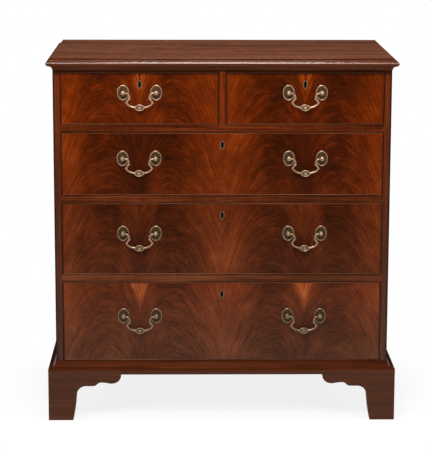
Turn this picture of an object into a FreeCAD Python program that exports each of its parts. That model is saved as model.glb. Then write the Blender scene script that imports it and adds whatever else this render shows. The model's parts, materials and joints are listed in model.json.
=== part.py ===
import FreeCAD, Part
import math
import os

# Straight-front chest of drawers: two short drawers over three long ones, each edged
# with a cockbead and hung with swan-neck bails, under a moulded top and on bracket feet.
# Millimetres. +X right, +Y to the back, +Z up. The origin is on the floor, under the
# middle of the chest's own box.

V = FreeCAD.Vector

# ---- case ------------------------------------------------------------------------------
CASE_W = 910.0            # over the two sides
CASE_D = 533.0            # front plane to back
SIDE_T = 19.0
BOTTOM_T = 19.0
BACK_T = 11.0
BACK_BOARDS = 4
BACK_LAP = 10.0           # how far the back boards lie on each side, in its rebate
BOARD_GAP = 0.6           # shrinkage gap between two back boards
RAIL_H = 19.5             # rails between the drawers
RAIL_D = 70.0
TOP_RAIL_H = 15.0
RAIL_TENON = 9.0          # length of a rail's tenon in the side
TENON_SHOULDER = 5.0      # wood left round a tenon
DIVIDER_W = 17.0          # upright between the short drawers
DUSTBOARD_T = 8.0
DUSTBOARD_GROOVE = 6.0
RUNNER_W = 22.0
CENTRE_RUNNER_W = 62.0
GUIDE_H = 24.0

# ---- top and mouldings (p is how far a point stands out from the case) ---------------------
TOP_T = 21.0
TOP_OVERHANG = 18.0
TOP_UNDERCUT = 5.5        # underside, in from the nose, and joined to it by a bevel
TOP_NOSE_H = 8.5          # nose above the underside
TOP_BEAD_IN = 4.5         # upper end of the bead, in from the nose
TOP_BEAD_H = 4.5          # and above it
TOP_COVE_IN = 11.5        # upper end of the cove, in from the nose
TOP_QUIRK = 1.0           # flat between the cove and the arris
TOP_ARRIS_H = 3.2
NECK_H = 10.2             # small cavetto under the top
NECK_PROUD = 8.0
NECK_FILLET = 1.8
NECK_LIP = 1.2            # foot of the small cavetto
BASE_MOULD_H = 22.0
BASE_PROUD = 21.5
BASE_TOP_LIP = 1.5
BASE_FILLET = 2.0

# ---- feet ----------------------------------------------------------------------------
FOOT_H = 142.0
BAND_H = 14.0             # rail between the feet
BAND_SET_BACK = 1.0
FOOT_SOLE = 67.5          # width of a bracket on the floor
FOOT_KNEE = 78.0          # inner edge where the scroll starts
FOOT_LEN = 200.0          # length of a bracket along the base
REAR_BRACKET_T = 15.0
REAR_BRACKET_LEN = 150.0
BLOCK_W = 32.0            # glue block in the corner of a foot
BLOCK_LIFT = 3.0          # block ends this far above the floor
BEARER_L = 90.0           # glue bearers along the case, beside the block
BEARER_H = 24.0

# ---- drawers --------------------------------------------------------------------------
DRAWER_H = {"short": 142.2, "upper_long": 171.4, "middle_long": 198.2, "lower_long": 220.4}
DRAWER_GAP = 0.9          # round each front
DRAWER_REAR_GAP = 12.0    # drawer's back to the back boards
FRONT_T = 20.0
BEAD_T = 3.2
BEAD_DEPTH = 8.0          # depth of the rebate that the cockbead is set in
BEAD_PROUD = 2.0
DRAWER_SIDE_T = 9.0
DRAWER_BACK_T = 9.0
SIDE_DROP = 6.0           # sides stop this far under the top of the front
BACK_DROP = 8.0           # and the back this far under the sides
RUN_CLEAR = 0.3           # drawer side above its runner
BOTTOM_BOARD_T = 6.0
BOTTOM_LIFT = 8.0         # underside of the bottom board above the sides' lower edge
BOTTOM_GROOVE = 4.0
TAIL_PITCH = 52.0
TAIL_SLOPE = 6.0          # one in six
TAIL_SHARE = 0.62         # tail width over its pitch, at the shoulder line
STOP_L = 40.0
STOP_D = 24.0
STOP_H = 5.0
STOP_INSET = 90.0
STOP_CLEAR = 0.3

# ---- locks ----------------------------------------------------------------------------
KEYHOLE_DROP = 34.0       # middle of the escutcheon under the top of the drawer
ESCUTCHEON_W = 12.6
ESCUTCHEON_H = 23.6
ESCUTCHEON_T = 1.4
ESCUTCHEON_PROUD = 0.3
KEY_R = 2.6
KEY_SLOT = 3.4
KEY_H = 15.6
KEY_PIN_R = 1.2
LOCK_W = 54.0
LOCK_H = 45.0
LOCK_WALL = 1.6
LOCK_SKIN = 1.0           # metal in front of the bolt's way
SELVEDGE_W = 66.0
SELVEDGE_T = 2.0
BOLT_W = 18.0
BOLT_T = 5.0
BOLT_H = 22.0
BOLT_SUNK = 0.3
BOLT_THROW = 8.0
BOLT_CLEAR = 0.5
MORTISE_SPARE = 1.0

# ---- handles --------------------------------------------------------------------------
POST_CENTRES = 89.0       # three and a half inches
HANDLE_X = 224.5          # handle centre from the middle of a long drawer
POST_LIFT = 15.5          # posts above the middle of the drawer front
SCREW_R = 2.2
SCREW_HOLE_R = 2.4
SHANK_R = 3.4
KNOB_R = 5.3
KNOB_START = 7.6          # where the knob begins, out from the drawer front
KNOB_FLARE = 1.6          # length of the cone between shank and knob
KNOB_RIM = 16.2
KNOB_END = 19.6
KNOB_FACE_R = 3.3
PIVOT_OUT = 11.8          # hinge line of the bail, out from the drawer front
PIVOT_R = 1.5
PIVOT_HOLE_R = 1.72
PIVOT_DEPTH = 2.5         # bore of a post past its axis
PIVOT_END = -1.5          # end of the bail's pin, from the post's axis towards the other post
NUT_W = 10.0
NUT_T = 4.0
SCREW_END = 2.0           # screw past its nut
THREAD_CLEAR = 0.05
ROSE_W = 32.0
ROSE_H = 42.0
ROSE_T = 1.6              # at the pierced field
ROSE_RIM = 2.6
ROSE_RIM_T = 2.8
ROSE_HUB_R = 6.0          # whole metal round the screw
ROSE_PIERCINGS = 6
ROSE_WEB = 1.0            # metal between a piercing and the rim
PIERCING_SHARE = 0.68     # how much of its sector a piercing takes
NECK_R = 1.9
LIMB_R = 2.5
BAIL_DROP = 39.3          # boss below the hinge line
BOSS_W = 27.0
BOSS_H = 18.6
BOSS_T = 6.4
BOSS_RING = 2.6
BOSS_DISH = 1.4
PATERA_SUNK = 0.4         # middle ornament of the boss, below its ring
BAIL_CLEAR = 0.5          # between a post and the bail's collar
BAIL_SINK = 1.0           # how far a limb, or a pin, runs into what it grows from
RING_SIDES = 6            # flats round a bar, a screw and a hole
KNOB_SIDES = 6
OVAL_SIDES = 10
BEND_STEP = 65.0          # degrees of turn between two sections of a bail's limb

# ---- worked-out places -------------------------------------------------------------------
CASE_HALF = CASE_W / 2
FRONT_Y = -(CASE_D - BASE_PROUD) / 2
BACK_Y = FRONT_Y + CASE_D
OPEN_HALF = CASE_HALF - SIDE_T
BASE_TOP = FOOT_H + BASE_MOULD_H
CASE_BOTTOM = BASE_TOP - BOTTOM_T
FOOT_T = BASE_PROUD       # brackets fill the overhang, so their blocks bear on the case
OPENING_H = {name: h + 2 * DRAWER_GAP for name, h in DRAWER_H.items()}
LOWER_Z = BASE_TOP
MIDDLE_Z = LOWER_Z + OPENING_H["lower_long"] + RAIL_H
UPPER_Z = MIDDLE_Z + OPENING_H["middle_long"] + RAIL_H
SHORT_Z = UPPER_Z + OPENING_H["upper_long"] + RAIL_H
TOP_RAIL_Z = SHORT_Z + OPENING_H["short"]
CASE_TOP = TOP_RAIL_Z + TOP_RAIL_H
RAILS_Z = [MIDDLE_Z - RAIL_H, UPPER_Z - RAIL_H, SHORT_Z - RAIL_H]
LONG_W = 2 * OPEN_HALF - 2 * DRAWER_GAP
SHORT_OPENING = OPEN_HALF - DIVIDER_W / 2
SHORT_W = SHORT_OPENING - 2 * DRAWER_GAP
SHORT_X = (DIVIDER_W + SHORT_OPENING) / 2
BACK_FACE_Y = BACK_Y - BACK_T
GROOVE_REACH = OPEN_HALF + DUSTBOARD_GROOVE
DUST_DROP = (RAIL_H - DUSTBOARD_T) / 2
DRAWER_L = CASE_D - BACK_T - DRAWER_REAR_GAP        # front plane to the back of the drawer
BOLT_IN = (BEAD_DEPTH + FRONT_T) / 2                # front plane to the middle of a bolt
LOCK_T = FRONT_T - BOLT_IN + BOLT_T / 2 + BOLT_CLEAR + LOCK_SKIN

nodes = {}


# ---- helpers ---------------------------------------------------------------------------
def box(x0, x1, y0, y1, z0, z1):
    return Part.makeBox(x1 - x0, y1 - y0, z1 - z0, V(x0, y0, z0))


def wire(start, steps, at):
    """Closed wire from start through steps; a step is an end point, or a via and an end point."""
    edges = []
    here = start
    for step in steps + [(start,)]:
        end = step[-1]
        if len(step) == 2:
            edges.append(Part.Arc(at(*here), at(*step[0]), at(*end)).toShape())
        elif end != here:
            edges.append(Part.makeLine(at(*here), at(*end)))
        here = end
    return Part.Wire(edges)


def slab(start, steps, at, along):
    return Part.Face(wire(start, steps, at)).extrude(along)


def plan(points, z0, z1):
    """Upright prism over a plan outline."""
    corners = [V(x, y, z0) for x, y in points]
    return Part.Face(Part.makePolygon(corners + corners[:1])).extrude(V(0, 0, z1 - z0))


def mirrored(shape):
    return shape.mirror(V(0, 0, 0), V(1, 0, 0))


def moved(shape, x, y, z):
    copy = shape.copy()
    copy.translate(V(x, y, z))
    return copy


def ring_points(half_w, half_h, sides):
    """Corners of an oval of flats whose sides touch the true oval halfway between corner and flat."""
    grow = 2 / (1 + math.cos(math.pi / sides))
    turns = [2 * math.pi * (k + 0.5) / sides for k in range(sides)]
    return [(half_w * grow * math.cos(t), half_h * grow * math.sin(t)) for t in turns]


def oval_y(x, z, half_w, half_h, y0, y1, sides=OVAL_SIDES):
    """Oval disc of flats with its axis along Y."""
    corners = [V(x + a, y0, z + b) for a, b in ring_points(half_w, half_h, sides)]
    return Part.Face(Part.makePolygon(corners + corners[:1])).extrude(V(0, y1 - y0, 0))


def bar_y(x, z, r, y0, y1, sides=RING_SIDES):
    """Round bar, or hole, of flats along Y."""
    return oval_y(x, z, r, r, y0, y1, sides)


def bar_x(r, x0, x1, y, z):
    """Round bar of flats along X."""
    low, high = min(x0, x1), max(x0, x1)
    corners = [V(low, y + a, z + b) for a, b in ring_points(r, r, RING_SIDES)]
    return Part.Face(Part.makePolygon(corners + corners[:1])).extrude(V(high - low, 0, 0))


def keep(name, *shapes):
    """Adds solids to a node."""
    found = nodes.setdefault(name, [])
    for shape in shapes:
        found.extend(shape.Solids)


# ---- mouldings -------------------------------------------------------------------------
def moulding(profile, proud):
    """Three mitred lengths of a moulding round the front and sides; profile gives start and steps."""
    start, steps = profile
    far = proud + 1.0
    z_all = (0.0, CASE_TOP + TOP_T)
    front_plan = [(-CASE_HALF, FRONT_Y), (CASE_HALF, FRONT_Y),
                  (CASE_HALF + far, FRONT_Y - far), (-CASE_HALF - far, FRONT_Y - far)]
    side_plan = [(CASE_HALF, FRONT_Y), (CASE_HALF, BACK_Y),
                 (CASE_HALF + far, BACK_Y), (CASE_HALF + far, FRONT_Y - far)]
    reach = CASE_HALF + far
    front = slab(start, steps, lambda p, z: V(-reach, FRONT_Y - p, z), V(2 * reach, 0, 0))
    side = slab(start, steps, lambda p, z: V(CASE_HALF + p, FRONT_Y - far, z),
                V(0, BACK_Y - FRONT_Y + far, 0))
    front = front.common(plan(front_plan, *z_all))
    side = side.common(plan(side_plan, *z_all))
    return [front, side, mirrored(side)]


def quarter(a, b, centre):
    """Steps of a quarter round or hollow from a to b about its centre: the middle of the arc, and b."""
    half = math.sqrt(0.5)
    return (tuple(c + half * (p - c + q - c) for p, q, c in zip(a, b, centre)), b)


def neck_profile():
    low, high = CASE_TOP - NECK_H, CASE_TOP
    out = NECK_PROUD - NECK_LIP
    down = high - NECK_FILLET
    return (0.0, high), [((NECK_PROUD, high),), ((NECK_PROUD, down),), ((out, down),),
                         quarter((out, down), (NECK_LIP, low), (out, low)), ((0.0, low),)]


def base_profile():
    low, high = FOOT_H, BASE_TOP
    lip = (BASE_TOP_LIP, high)
    edge = (BASE_PROUD, low + BASE_FILLET)
    return (0.0, high), [(lip,), quarter(lip, edge, (BASE_PROUD, high)), ((BASE_PROUD, low),),
                         ((0.0, low),)]


# ---- top -------------------------------------------------------------------------------
def top_edge():
    """Moulded edge of the top from its underside to its upper face, as (p, z) steps."""
    low, high = CASE_TOP, CASE_TOP + TOP_T
    nose = (TOP_OVERHANG, low + TOP_NOSE_H)
    under = (TOP_OVERHANG - TOP_UNDERCUT, low)
    bead = (TOP_OVERHANG - TOP_BEAD_IN, nose[1] + TOP_BEAD_H)
    cove = (TOP_OVERHANG - TOP_COVE_IN, high - TOP_ARRIS_H)
    arris = cove[0] - TOP_QUIRK
    return under, [(nose,), quarter(nose, bead, (bead[0], nose[1])),
                   quarter(bead, cove, (bead[0], cove[1])), ((arris, cove[1]),), ((arris, high),)]


def top_board():
    """The edge's profile run along the front, cut to the same profile along both sides."""
    under, steps = top_edge()
    z0, z1 = CASE_TOP, CASE_TOP + TOP_T
    reach = CASE_HALF + TOP_OVERHANG
    long_way = slab(under, steps + [((-CASE_D, z1),), ((-CASE_D, z0),)],
                    lambda p, z: V(-reach, FRONT_Y - p, z), V(2 * reach, 0, 0))
    half = slab(under, steps + [((-CASE_HALF, z1),), ((-CASE_HALF, z0),)],
                lambda p, z: V(CASE_HALF + p, FRONT_Y - TOP_OVERHANG, z),
                V(0, CASE_D + TOP_OVERHANG, 0))
    return long_way.common(half.fuse(mirrored(half)).removeSplitter())


# ---- case ------------------------------------------------------------------------------
def rail_tenon(z, height):
    """Tenon of a front rail at the right-hand end."""
    return box(OPEN_HALF, OPEN_HALF + RAIL_TENON, FRONT_Y + TENON_SHOULDER,
               FRONT_Y + RAIL_D - TENON_SHOULDER, z + TENON_SHOULDER, z + height - TENON_SHOULDER)


def dustboard_span():
    return FRONT_Y + RAIL_D, BACK_FACE_Y


def right_side():
    side = box(OPEN_HALF, CASE_HALF, FRONT_Y, BACK_Y, CASE_BOTTOM, CASE_TOP)
    side = side.cut(box(OPEN_HALF, OPEN_HALF + BACK_LAP, BACK_FACE_Y, BACK_Y, CASE_BOTTOM, CASE_TOP))
    y0, y1 = dustboard_span()
    for z in RAILS_Z:
        side = side.cut(rail_tenon(z, RAIL_H))
        side = side.cut(box(OPEN_HALF, GROOVE_REACH, y0, y1,
                            z + DUST_DROP, z + DUST_DROP + DUSTBOARD_T))
    return side.cut(rail_tenon(TOP_RAIL_Z, TOP_RAIL_H))


def front_rail(z, height):
    tenon = rail_tenon(z, height)
    bar = box(-OPEN_HALF, OPEN_HALF, FRONT_Y, FRONT_Y + RAIL_D, z, z + height)
    return bar.fuse([tenon, mirrored(tenon)]).removeSplitter()


def bolt_mortise(x, z):
    """Mortise for a lock bolt in the rail over a drawer; z is the underside of the rail."""
    y_mid = FRONT_Y + BOLT_IN
    half_w = BOLT_W / 2 + MORTISE_SPARE
    half_t = BOLT_T / 2 + MORTISE_SPARE
    deep = BOLT_THROW - BOLT_SUNK - DRAWER_GAP + MORTISE_SPARE
    return box(x - half_w, x + half_w, y_mid - half_t, y_mid + half_t, z, z + deep)


def make_case():
    side = right_side()
    keep("right_side", side)
    keep("left_side", mirrored(side))
    keep("bottom_board", box(-OPEN_HALF, OPEN_HALF, FRONT_Y, BACK_FACE_Y, CASE_BOTTOM, BASE_TOP))

    top_rail = front_rail(TOP_RAIL_Z, TOP_RAIL_H)
    for x in (-SHORT_X, SHORT_X):
        top_rail = top_rail.cut(bolt_mortise(x, TOP_RAIL_Z))
    rear_rail = box(-OPEN_HALF, OPEN_HALF, BACK_FACE_Y - RAIL_D, BACK_FACE_Y, TOP_RAIL_Z, CASE_TOP)
    keep("top_rails", top_rail, rear_rail)
    for z in RAILS_Z:
        keep("drawer_rails", front_rail(z, RAIL_H).cut(bolt_mortise(0.0, z)))
    keep("short_drawer_divider",
         box(-DIVIDER_W / 2, DIVIDER_W / 2, FRONT_Y, FRONT_Y + RAIL_D, SHORT_Z, TOP_RAIL_Z))

    y0, y1 = dustboard_span()
    for z in RAILS_Z:
        low = z + DUST_DROP
        keep("dustboards", box(-GROOVE_REACH, GROOVE_REACH, y0, y1, low, low + DUSTBOARD_T))
        runner = box(OPEN_HALF - RUNNER_W, OPEN_HALF, y0, y1, low + DUSTBOARD_T, z + RAIL_H)
        keep("drawer_runners", runner, mirrored(runner))
    middle = box(-CENTRE_RUNNER_W / 2, CENTRE_RUNNER_W / 2, y0, y1,
                 SHORT_Z - DUST_DROP, SHORT_Z)
    guide = box(-DIVIDER_W / 2, DIVIDER_W / 2, y0, y1, SHORT_Z, SHORT_Z + GUIDE_H)
    keep("drawer_runners", middle, guide)

    span = CASE_W - 2 * (SIDE_T - BACK_LAP)
    board = span / BACK_BOARDS
    for k in range(BACK_BOARDS):
        x = -span / 2 + k * board
        keep("back_boards", box(x + BOARD_GAP / 2, x + board - BOARD_GAP / 2,
                                BACK_FACE_Y, BACK_Y, CASE_BOTTOM, CASE_TOP))


# ---- base ------------------------------------------------------------------------------
def bracket_steps():
    """Scrolled outline of a bracket, as (u, z) with u from the outer corner of the foot."""
    knee = FOOT_KNEE
    end = FOOT_LEN
    band = FOOT_H - BAND_H
    low = band - 24.0         # underside of the end scroll
    return (0.0, 0.0), [
        ((FOOT_SOLE, 0.0),),
        ((FOOT_SOLE + 4.0, 40.0),),
        ((knee, 74.0),),
        ((knee + 7.0, 89.5), (knee + 27.0, 97.0)),
        ((knee + 45.0, 97.0),),
        ((knee + 57.0, 104.5),),
        ((knee + 69.0, 106.8),),
        ((end - 36.0, low + 0.8),),
        ((end - 16.0, low + 1.6),),
        ((end - 4.0, low + 10.0), (end, band)),
        ((end, FOOT_H),),
        ((0.0, FOOT_H),),
    ]


def bracket_boards():
    """Front and side brackets of the right-hand front foot, mitred at the corner."""
    start, steps = bracket_steps()
    x_out = CASE_HALF + BASE_PROUD
    y_out = FRONT_Y - BASE_PROUD
    inner = FOOT_T
    front = slab(start, steps, lambda u, z: V(x_out - u, y_out, z), V(0, inner, 0))
    side = slab(start, steps, lambda u, z: V(x_out, y_out + u, z), V(-inner, 0, 0))
    mitre = plan([(x_out, y_out), (x_out - FOOT_LEN - 1, y_out), (x_out - FOOT_LEN - 1, y_out + inner),
                  (x_out - inner, y_out + inner)], 0.0, FOOT_H)
    front = front.common(mitre)
    mitre = plan([(x_out, y_out), (x_out - inner, y_out + inner), (x_out - inner, y_out + FOOT_LEN + 1),
                  (x_out, y_out + FOOT_LEN + 1)], 0.0, FOOT_H)
    return front, side.common(mitre)


def foot_block(y_corner, y_step):
    """Upright glue block, and the two bearers under the case, inside a right-hand foot."""
    x_in = CASE_HALF + BASE_PROUD - FOOT_T
    y_far = y_corner + y_step * BLOCK_W
    low, high = sorted((y_corner, y_far))
    block = box(x_in - BLOCK_W, x_in, low, high, BLOCK_LIFT, CASE_BOTTOM)
    y_end = y_far + y_step * BEARER_L
    low, high = sorted((y_far, y_end))
    side_bearer = box(x_in - BLOCK_W, x_in, low, high, CASE_BOTTOM - BEARER_H, CASE_BOTTOM)
    low, high = sorted((y_corner, y_far))
    cross_bearer = box(x_in - BLOCK_W - BEARER_L, x_in - BLOCK_W, low, high,
                       CASE_BOTTOM - BEARER_H, CASE_BOTTOM)
    return [block, side_bearer, cross_bearer]


def make_base():
    keep("base_moulding", *moulding(base_profile(), BASE_PROUD))
    x_out = CASE_HALF + BASE_PROUD
    y_out = FRONT_Y - BASE_PROUD
    band_z = (FOOT_H - BAND_H, FOOT_H)
    band_y = y_out + BAND_SET_BACK
    keep("base_moulding", box(-x_out + FOOT_LEN, x_out - FOOT_LEN, band_y, y_out + FOOT_T, *band_z))
    band_x = x_out - BAND_SET_BACK
    side_band = box(x_out - FOOT_T, band_x, y_out + FOOT_LEN, BACK_Y - FOOT_LEN, *band_z)
    keep("base_moulding", side_band, mirrored(side_band))

    front, side = bracket_boards()
    blocks = foot_block(y_out + FOOT_T, 1)
    keep("front_right_foot", front, side, *blocks)
    keep("front_left_foot", *[mirrored(s) for s in (front, side, *blocks)])

    start, steps = bracket_steps()
    rear_side = slab(start, steps, lambda u, z: V(x_out, BACK_Y - u, z), V(-FOOT_T, 0, 0))
    x_in = x_out - FOOT_T
    sole = FOOT_SOLE * 0.75
    rise = FOOT_H - BAND_H - 20.0
    rear = slab((0.0, 0.0), [((sole, 0.0),), ((sole + 6.0, 40.0),),
                             ((REAR_BRACKET_LEN, rise),), ((REAR_BRACKET_LEN, CASE_BOTTOM),),
                             ((0.0, CASE_BOTTOM),)],
                lambda u, z: V(x_in - u, BACK_Y - REAR_BRACKET_T, z), V(0, REAR_BRACKET_T, 0))
    blocks = foot_block(BACK_Y - REAR_BRACKET_T, -1)
    keep("rear_right_foot", rear_side, rear, *blocks)
    keep("rear_left_foot", *[mirrored(s) for s in (rear_side, rear, *blocks)])


# ---- drawers ---------------------------------------------------------------------------
class Drawer:
    """Sizes and places of one drawer, worked out from its opening."""

    def __init__(self, name, kind, x, width, opening_z, handles):
        self.name = name
        self.x = x
        self.x0 = x - width / 2
        self.x1 = x + width / 2
        self.z0 = opening_z + DRAWER_GAP
        self.z1 = self.z0 + DRAWER_H[kind]
        self.side_z0 = opening_z + RUN_CLEAR
        self.side_z1 = self.z1 - SIDE_DROP
        self.tail_y = FRONT_Y + BEAD_DEPTH
        self.inner_y = FRONT_Y + FRONT_T
        self.back_y = FRONT_Y + DRAWER_L
        self.post_z = (self.z0 + self.z1) / 2 + POST_LIFT
        self.handles = handles


def tails(d, high, y_shoulder, y_end):
    """Dovetails of a drawer side's end, from the shoulder line to the end, on its right-hand side."""
    height = high - d.z0
    count = max(2, int(height / TAIL_PITCH))
    pitch = height / count
    half = pitch * TAIL_SHARE / 2
    flare = abs(y_end - y_shoulder) / TAIL_SLOPE
    found = []
    for k in range(count):
        z = d.z0 + pitch * (k + 0.5)
        points = [V(d.x1, y_shoulder, z - half), V(d.x1, y_end, z - half - flare),
                  V(d.x1, y_end, z + half + flare), V(d.x1, y_shoulder, z + half)]
        face = Part.Face(Part.makePolygon(points + points[:1]))
        found.append(face.extrude(V(-DRAWER_SIDE_T, 0, 0)))
    return found


def across(d, shape):
    """The same shape at the other end of a drawer."""
    return shape.mirror(V(d.x, 0, 0), V(1, 0, 0))


def keyhole(d, y0, y1):
    """Keyhole: a round top and foot joined by a slot."""
    z = d.z1 - KEYHOLE_DROP
    top = z + KEY_H / 2 - KEY_R
    foot = z - KEY_H / 2 + KEY_R
    return bar_y(d.x, top, KEY_R, y0, y1).fuse([
        bar_y(d.x, foot, KEY_R, y0, y1),
        box(d.x - KEY_SLOT / 2, d.x + KEY_SLOT / 2, y0, y1, foot, top)]).removeSplitter()


def escutcheon_blank(d, proud):
    y = FRONT_Y
    z = d.z1 - KEYHOLE_DROP
    return oval_y(d.x, z, ESCUTCHEON_W / 2, ESCUTCHEON_H / 2, y - proud, y + ESCUTCHEON_T - proud)


def cockbead_ring(d):
    """Cockbead before mitring: a frame round the front with a rounded nose."""
    y_in = FRONT_Y + BEAD_DEPTH
    nose = BEAD_T / 2
    y_flat = FRONT_Y - BEAD_PROUD + nose

    def strip(at, along):
        flat = nose * math.tan(math.pi / 8)
        reach = y_in - y_flat
        return slab((0.0, 0.0), [((BEAD_T, 0.0),), ((BEAD_T, reach + flat),),
                                 ((nose + flat, reach + nose),), ((nose - flat, reach + nose),),
                                 ((0.0, reach + flat),)], at, along)

    wide = d.x1 - d.x0
    tall = d.z1 - d.z0
    low = strip(lambda a, b: V(d.x0, y_in - b, d.z0 + a), V(wide, 0, 0))
    high = strip(lambda a, b: V(d.x0, y_in - b, d.z1 - a), V(wide, 0, 0))
    left = strip(lambda a, b: V(d.x0 + a, y_in - b, d.z0), V(0, 0, tall))
    right = strip(lambda a, b: V(d.x1 - a, y_in - b, d.z0), V(0, 0, tall))

    def wedge(points):
        corners = [V(x, y_in - 2 * BEAD_DEPTH, z) for x, z in points]
        return Part.Face(Part.makePolygon(corners + corners[:1])).extrude(V(0, 2 * BEAD_DEPTH, 0))

    t = BEAD_T
    x0, x1, z0, z1 = d.x0, d.x1, d.z0, d.z1
    return [
        low.common(wedge([(x0, z0), (x1, z0), (x1 - t, z0 + t), (x0 + t, z0 + t)])),
        high.common(wedge([(x0, z1), (x1, z1), (x1 - t, z1 - t), (x0 + t, z1 - t)])),
        left.common(wedge([(x0, z0), (x0 + t, z0 + t), (x0 + t, z1 - t), (x0, z1)])),
        right.common(wedge([(x1, z0), (x1 - t, z0 + t), (x1 - t, z1 - t), (x1, z1)])),
    ]


def lock_space(d):
    """The recess for a lock: its case from behind, and its selvedge in the top edge."""
    case_top = d.z1 - SELVEDGE_T
    case = box(d.x - LOCK_W / 2, d.x + LOCK_W / 2, d.inner_y - LOCK_T, d.inner_y,
               case_top - LOCK_H, case_top)
    selvedge = box(d.x - SELVEDGE_W / 2, d.x + SELVEDGE_W / 2, d.tail_y, d.inner_y,
                   case_top, d.z1)
    return case, selvedge


def bolt_box(d, spare):
    y_mid = FRONT_Y + BOLT_IN
    top = d.z1 - BOLT_SUNK
    return box(d.x - BOLT_W / 2 - spare, d.x + BOLT_W / 2 + spare,
               y_mid - BOLT_T / 2 - spare, y_mid + BOLT_T / 2 + spare,
               top - BOLT_H - spare, top + spare)


def post_places(d):
    return [(hx + side * POST_CENTRES / 2, side) for hx in d.handles for side in (-1, 1)]


def make_front(d):
    front = box(d.x0, d.x1, FRONT_Y, d.inner_y, d.z0, d.z1)
    field = box(d.x0 + BEAD_T, d.x1 - BEAD_T, FRONT_Y, d.tail_y, d.z0 + BEAD_T, d.z1 - BEAD_T)
    rebate = box(d.x0, d.x1, FRONT_Y, d.tail_y, d.z0, d.z1).cut(field)
    cuts = [rebate, keyhole(d, FRONT_Y, d.inner_y), escutcheon_blank(d, 0.0), *lock_space(d)]
    end = d.side_z1
    sockets = tails(d, end, d.inner_y, d.tail_y)
    cuts += sockets + [across(d, s) for s in sockets]
    low = d.side_z0 + BOTTOM_LIFT
    cuts.append(box(d.x0 + DRAWER_SIDE_T, d.x1 - DRAWER_SIDE_T, d.inner_y - BOTTOM_GROOVE, d.inner_y,
                    low, low + BOTTOM_BOARD_T))
    cuts += [bar_y(x, d.post_z, SCREW_HOLE_R, FRONT_Y, d.inner_y) for x, _ in post_places(d)]
    for cut in cuts:
        front = front.cut(cut)
    keep(d.name + "_front", front)


def make_box(d):
    """Two dovetailed sides and the back."""
    side = box(d.x1 - DRAWER_SIDE_T, d.x1, d.inner_y, d.back_y - DRAWER_BACK_T, d.side_z0, d.side_z1)
    back_z0 = d.side_z0 + BOTTOM_LIFT + BOTTOM_BOARD_T
    back_z1 = d.side_z1 - BACK_DROP
    rear_tails = tails(d, back_z1, d.back_y - DRAWER_BACK_T, d.back_y)
    side = side.fuse(tails(d, d.side_z1, d.inner_y, d.tail_y) + rear_tails).removeSplitter()
    low = d.side_z0 + BOTTOM_LIFT
    groove = box(d.x1 - DRAWER_SIDE_T, d.x1 - DRAWER_SIDE_T + BOTTOM_GROOVE,
                 d.inner_y, d.back_y, low, low + BOTTOM_BOARD_T)
    side = side.cut(groove)
    back = box(d.x0, d.x1, d.back_y - DRAWER_BACK_T, d.back_y, back_z0, back_z1)
    for tail in rear_tails:
        back = back.cut(tail).cut(across(d, tail))
    keep(d.name + "_box", side, across(d, side), back)

    reach = DRAWER_SIDE_T - BOTTOM_GROOVE
    board = box(d.x0 + reach, d.x1 - reach, d.inner_y, d.back_y - DRAWER_BACK_T,
                low, low + BOTTOM_BOARD_T)
    tongue = box(d.x0 + DRAWER_SIDE_T, d.x1 - DRAWER_SIDE_T, d.inner_y - BOTTOM_GROOVE, d.inner_y,
                 low, low + BOTTOM_BOARD_T)
    heel = box(d.x0 + DRAWER_SIDE_T, d.x1 - DRAWER_SIDE_T, d.back_y - DRAWER_BACK_T, d.back_y,
               low, low + BOTTOM_BOARD_T)
    keep(d.name + "_bottom", board.fuse([tongue, heel]).removeSplitter())


def make_lock(d):
    case, selvedge = lock_space(d)
    hollow = box(d.x - LOCK_W / 2 + LOCK_WALL, d.x + LOCK_W / 2 - LOCK_WALL,
                 d.inner_y - LOCK_T, d.inner_y - LOCK_WALL,
                 case.BoundBox.ZMin + LOCK_WALL, case.BoundBox.ZMax)
    case = case.cut(hollow).fuse(selvedge).removeSplitter()
    case = case.cut(bolt_box(d, BOLT_CLEAR))
    pin_z = d.z1 - KEYHOLE_DROP + KEY_H / 2 - KEY_R
    pin = bar_y(d.x, pin_z, KEY_PIN_R, d.inner_y - LOCK_T, d.inner_y - LOCK_WALL)
    plate = escutcheon_blank(d, ESCUTCHEON_PROUD).cut(keyhole(d, FRONT_Y - ESCUTCHEON_T, d.inner_y))
    keep(d.name + "_lock", case.fuse(pin), plate)
    keep(d.name + "_bolt", bolt_box(d, 0.0))


# ---- handles ---------------------------------------------------------------------------
def skin(rings):
    """Solid through closed rings of corners, with flat sides between them and flat ends."""
    faces = []
    for low, high in zip(rings, rings[1:]):
        for k in range(len(low)):
            n = (k + 1) % len(low)
            faces.append(Part.Face(Part.makePolygon([low[k], low[n], high[n], high[k], low[k]])))
    for end in (rings[0], rings[-1]):
        faces.append(Part.Face(Part.makePolygon(end + end[:1])))
    solid = Part.Solid(Part.Shell(faces))
    if solid.Volume < 0:
        solid.reverse()
    return solid


def turned(profile, x, z):
    """Turning about Y, in flats, through a profile of (r, out) from the drawer front."""
    return skin([[V(x + a, FRONT_Y - out, z + b) for a, b in ring_points(r, r, KNOB_SIDES)]
                 for r, out in profile])


def post(x, z, inward):
    """Screw, shank and knob in one casting, bored from its inner side for the bail."""
    screw = bar_y(x, z, SCREW_R, FRONT_Y - ROSE_T, FRONT_Y + FRONT_T + NUT_T + SCREW_END)
    knob = turned([(SHANK_R, ROSE_T), (SHANK_R, KNOB_START - KNOB_FLARE), (KNOB_R, KNOB_START),
                   (KNOB_R, KNOB_RIM), (KNOB_FACE_R, KNOB_END)], x, z)
    bore = bar_x(PIVOT_HOLE_R, x - inward * PIVOT_DEPTH, x + inward * (KNOB_R + 1.0),
                 FRONT_Y - PIVOT_OUT, z)
    return knob.fuse(screw).cut(bore)


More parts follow.
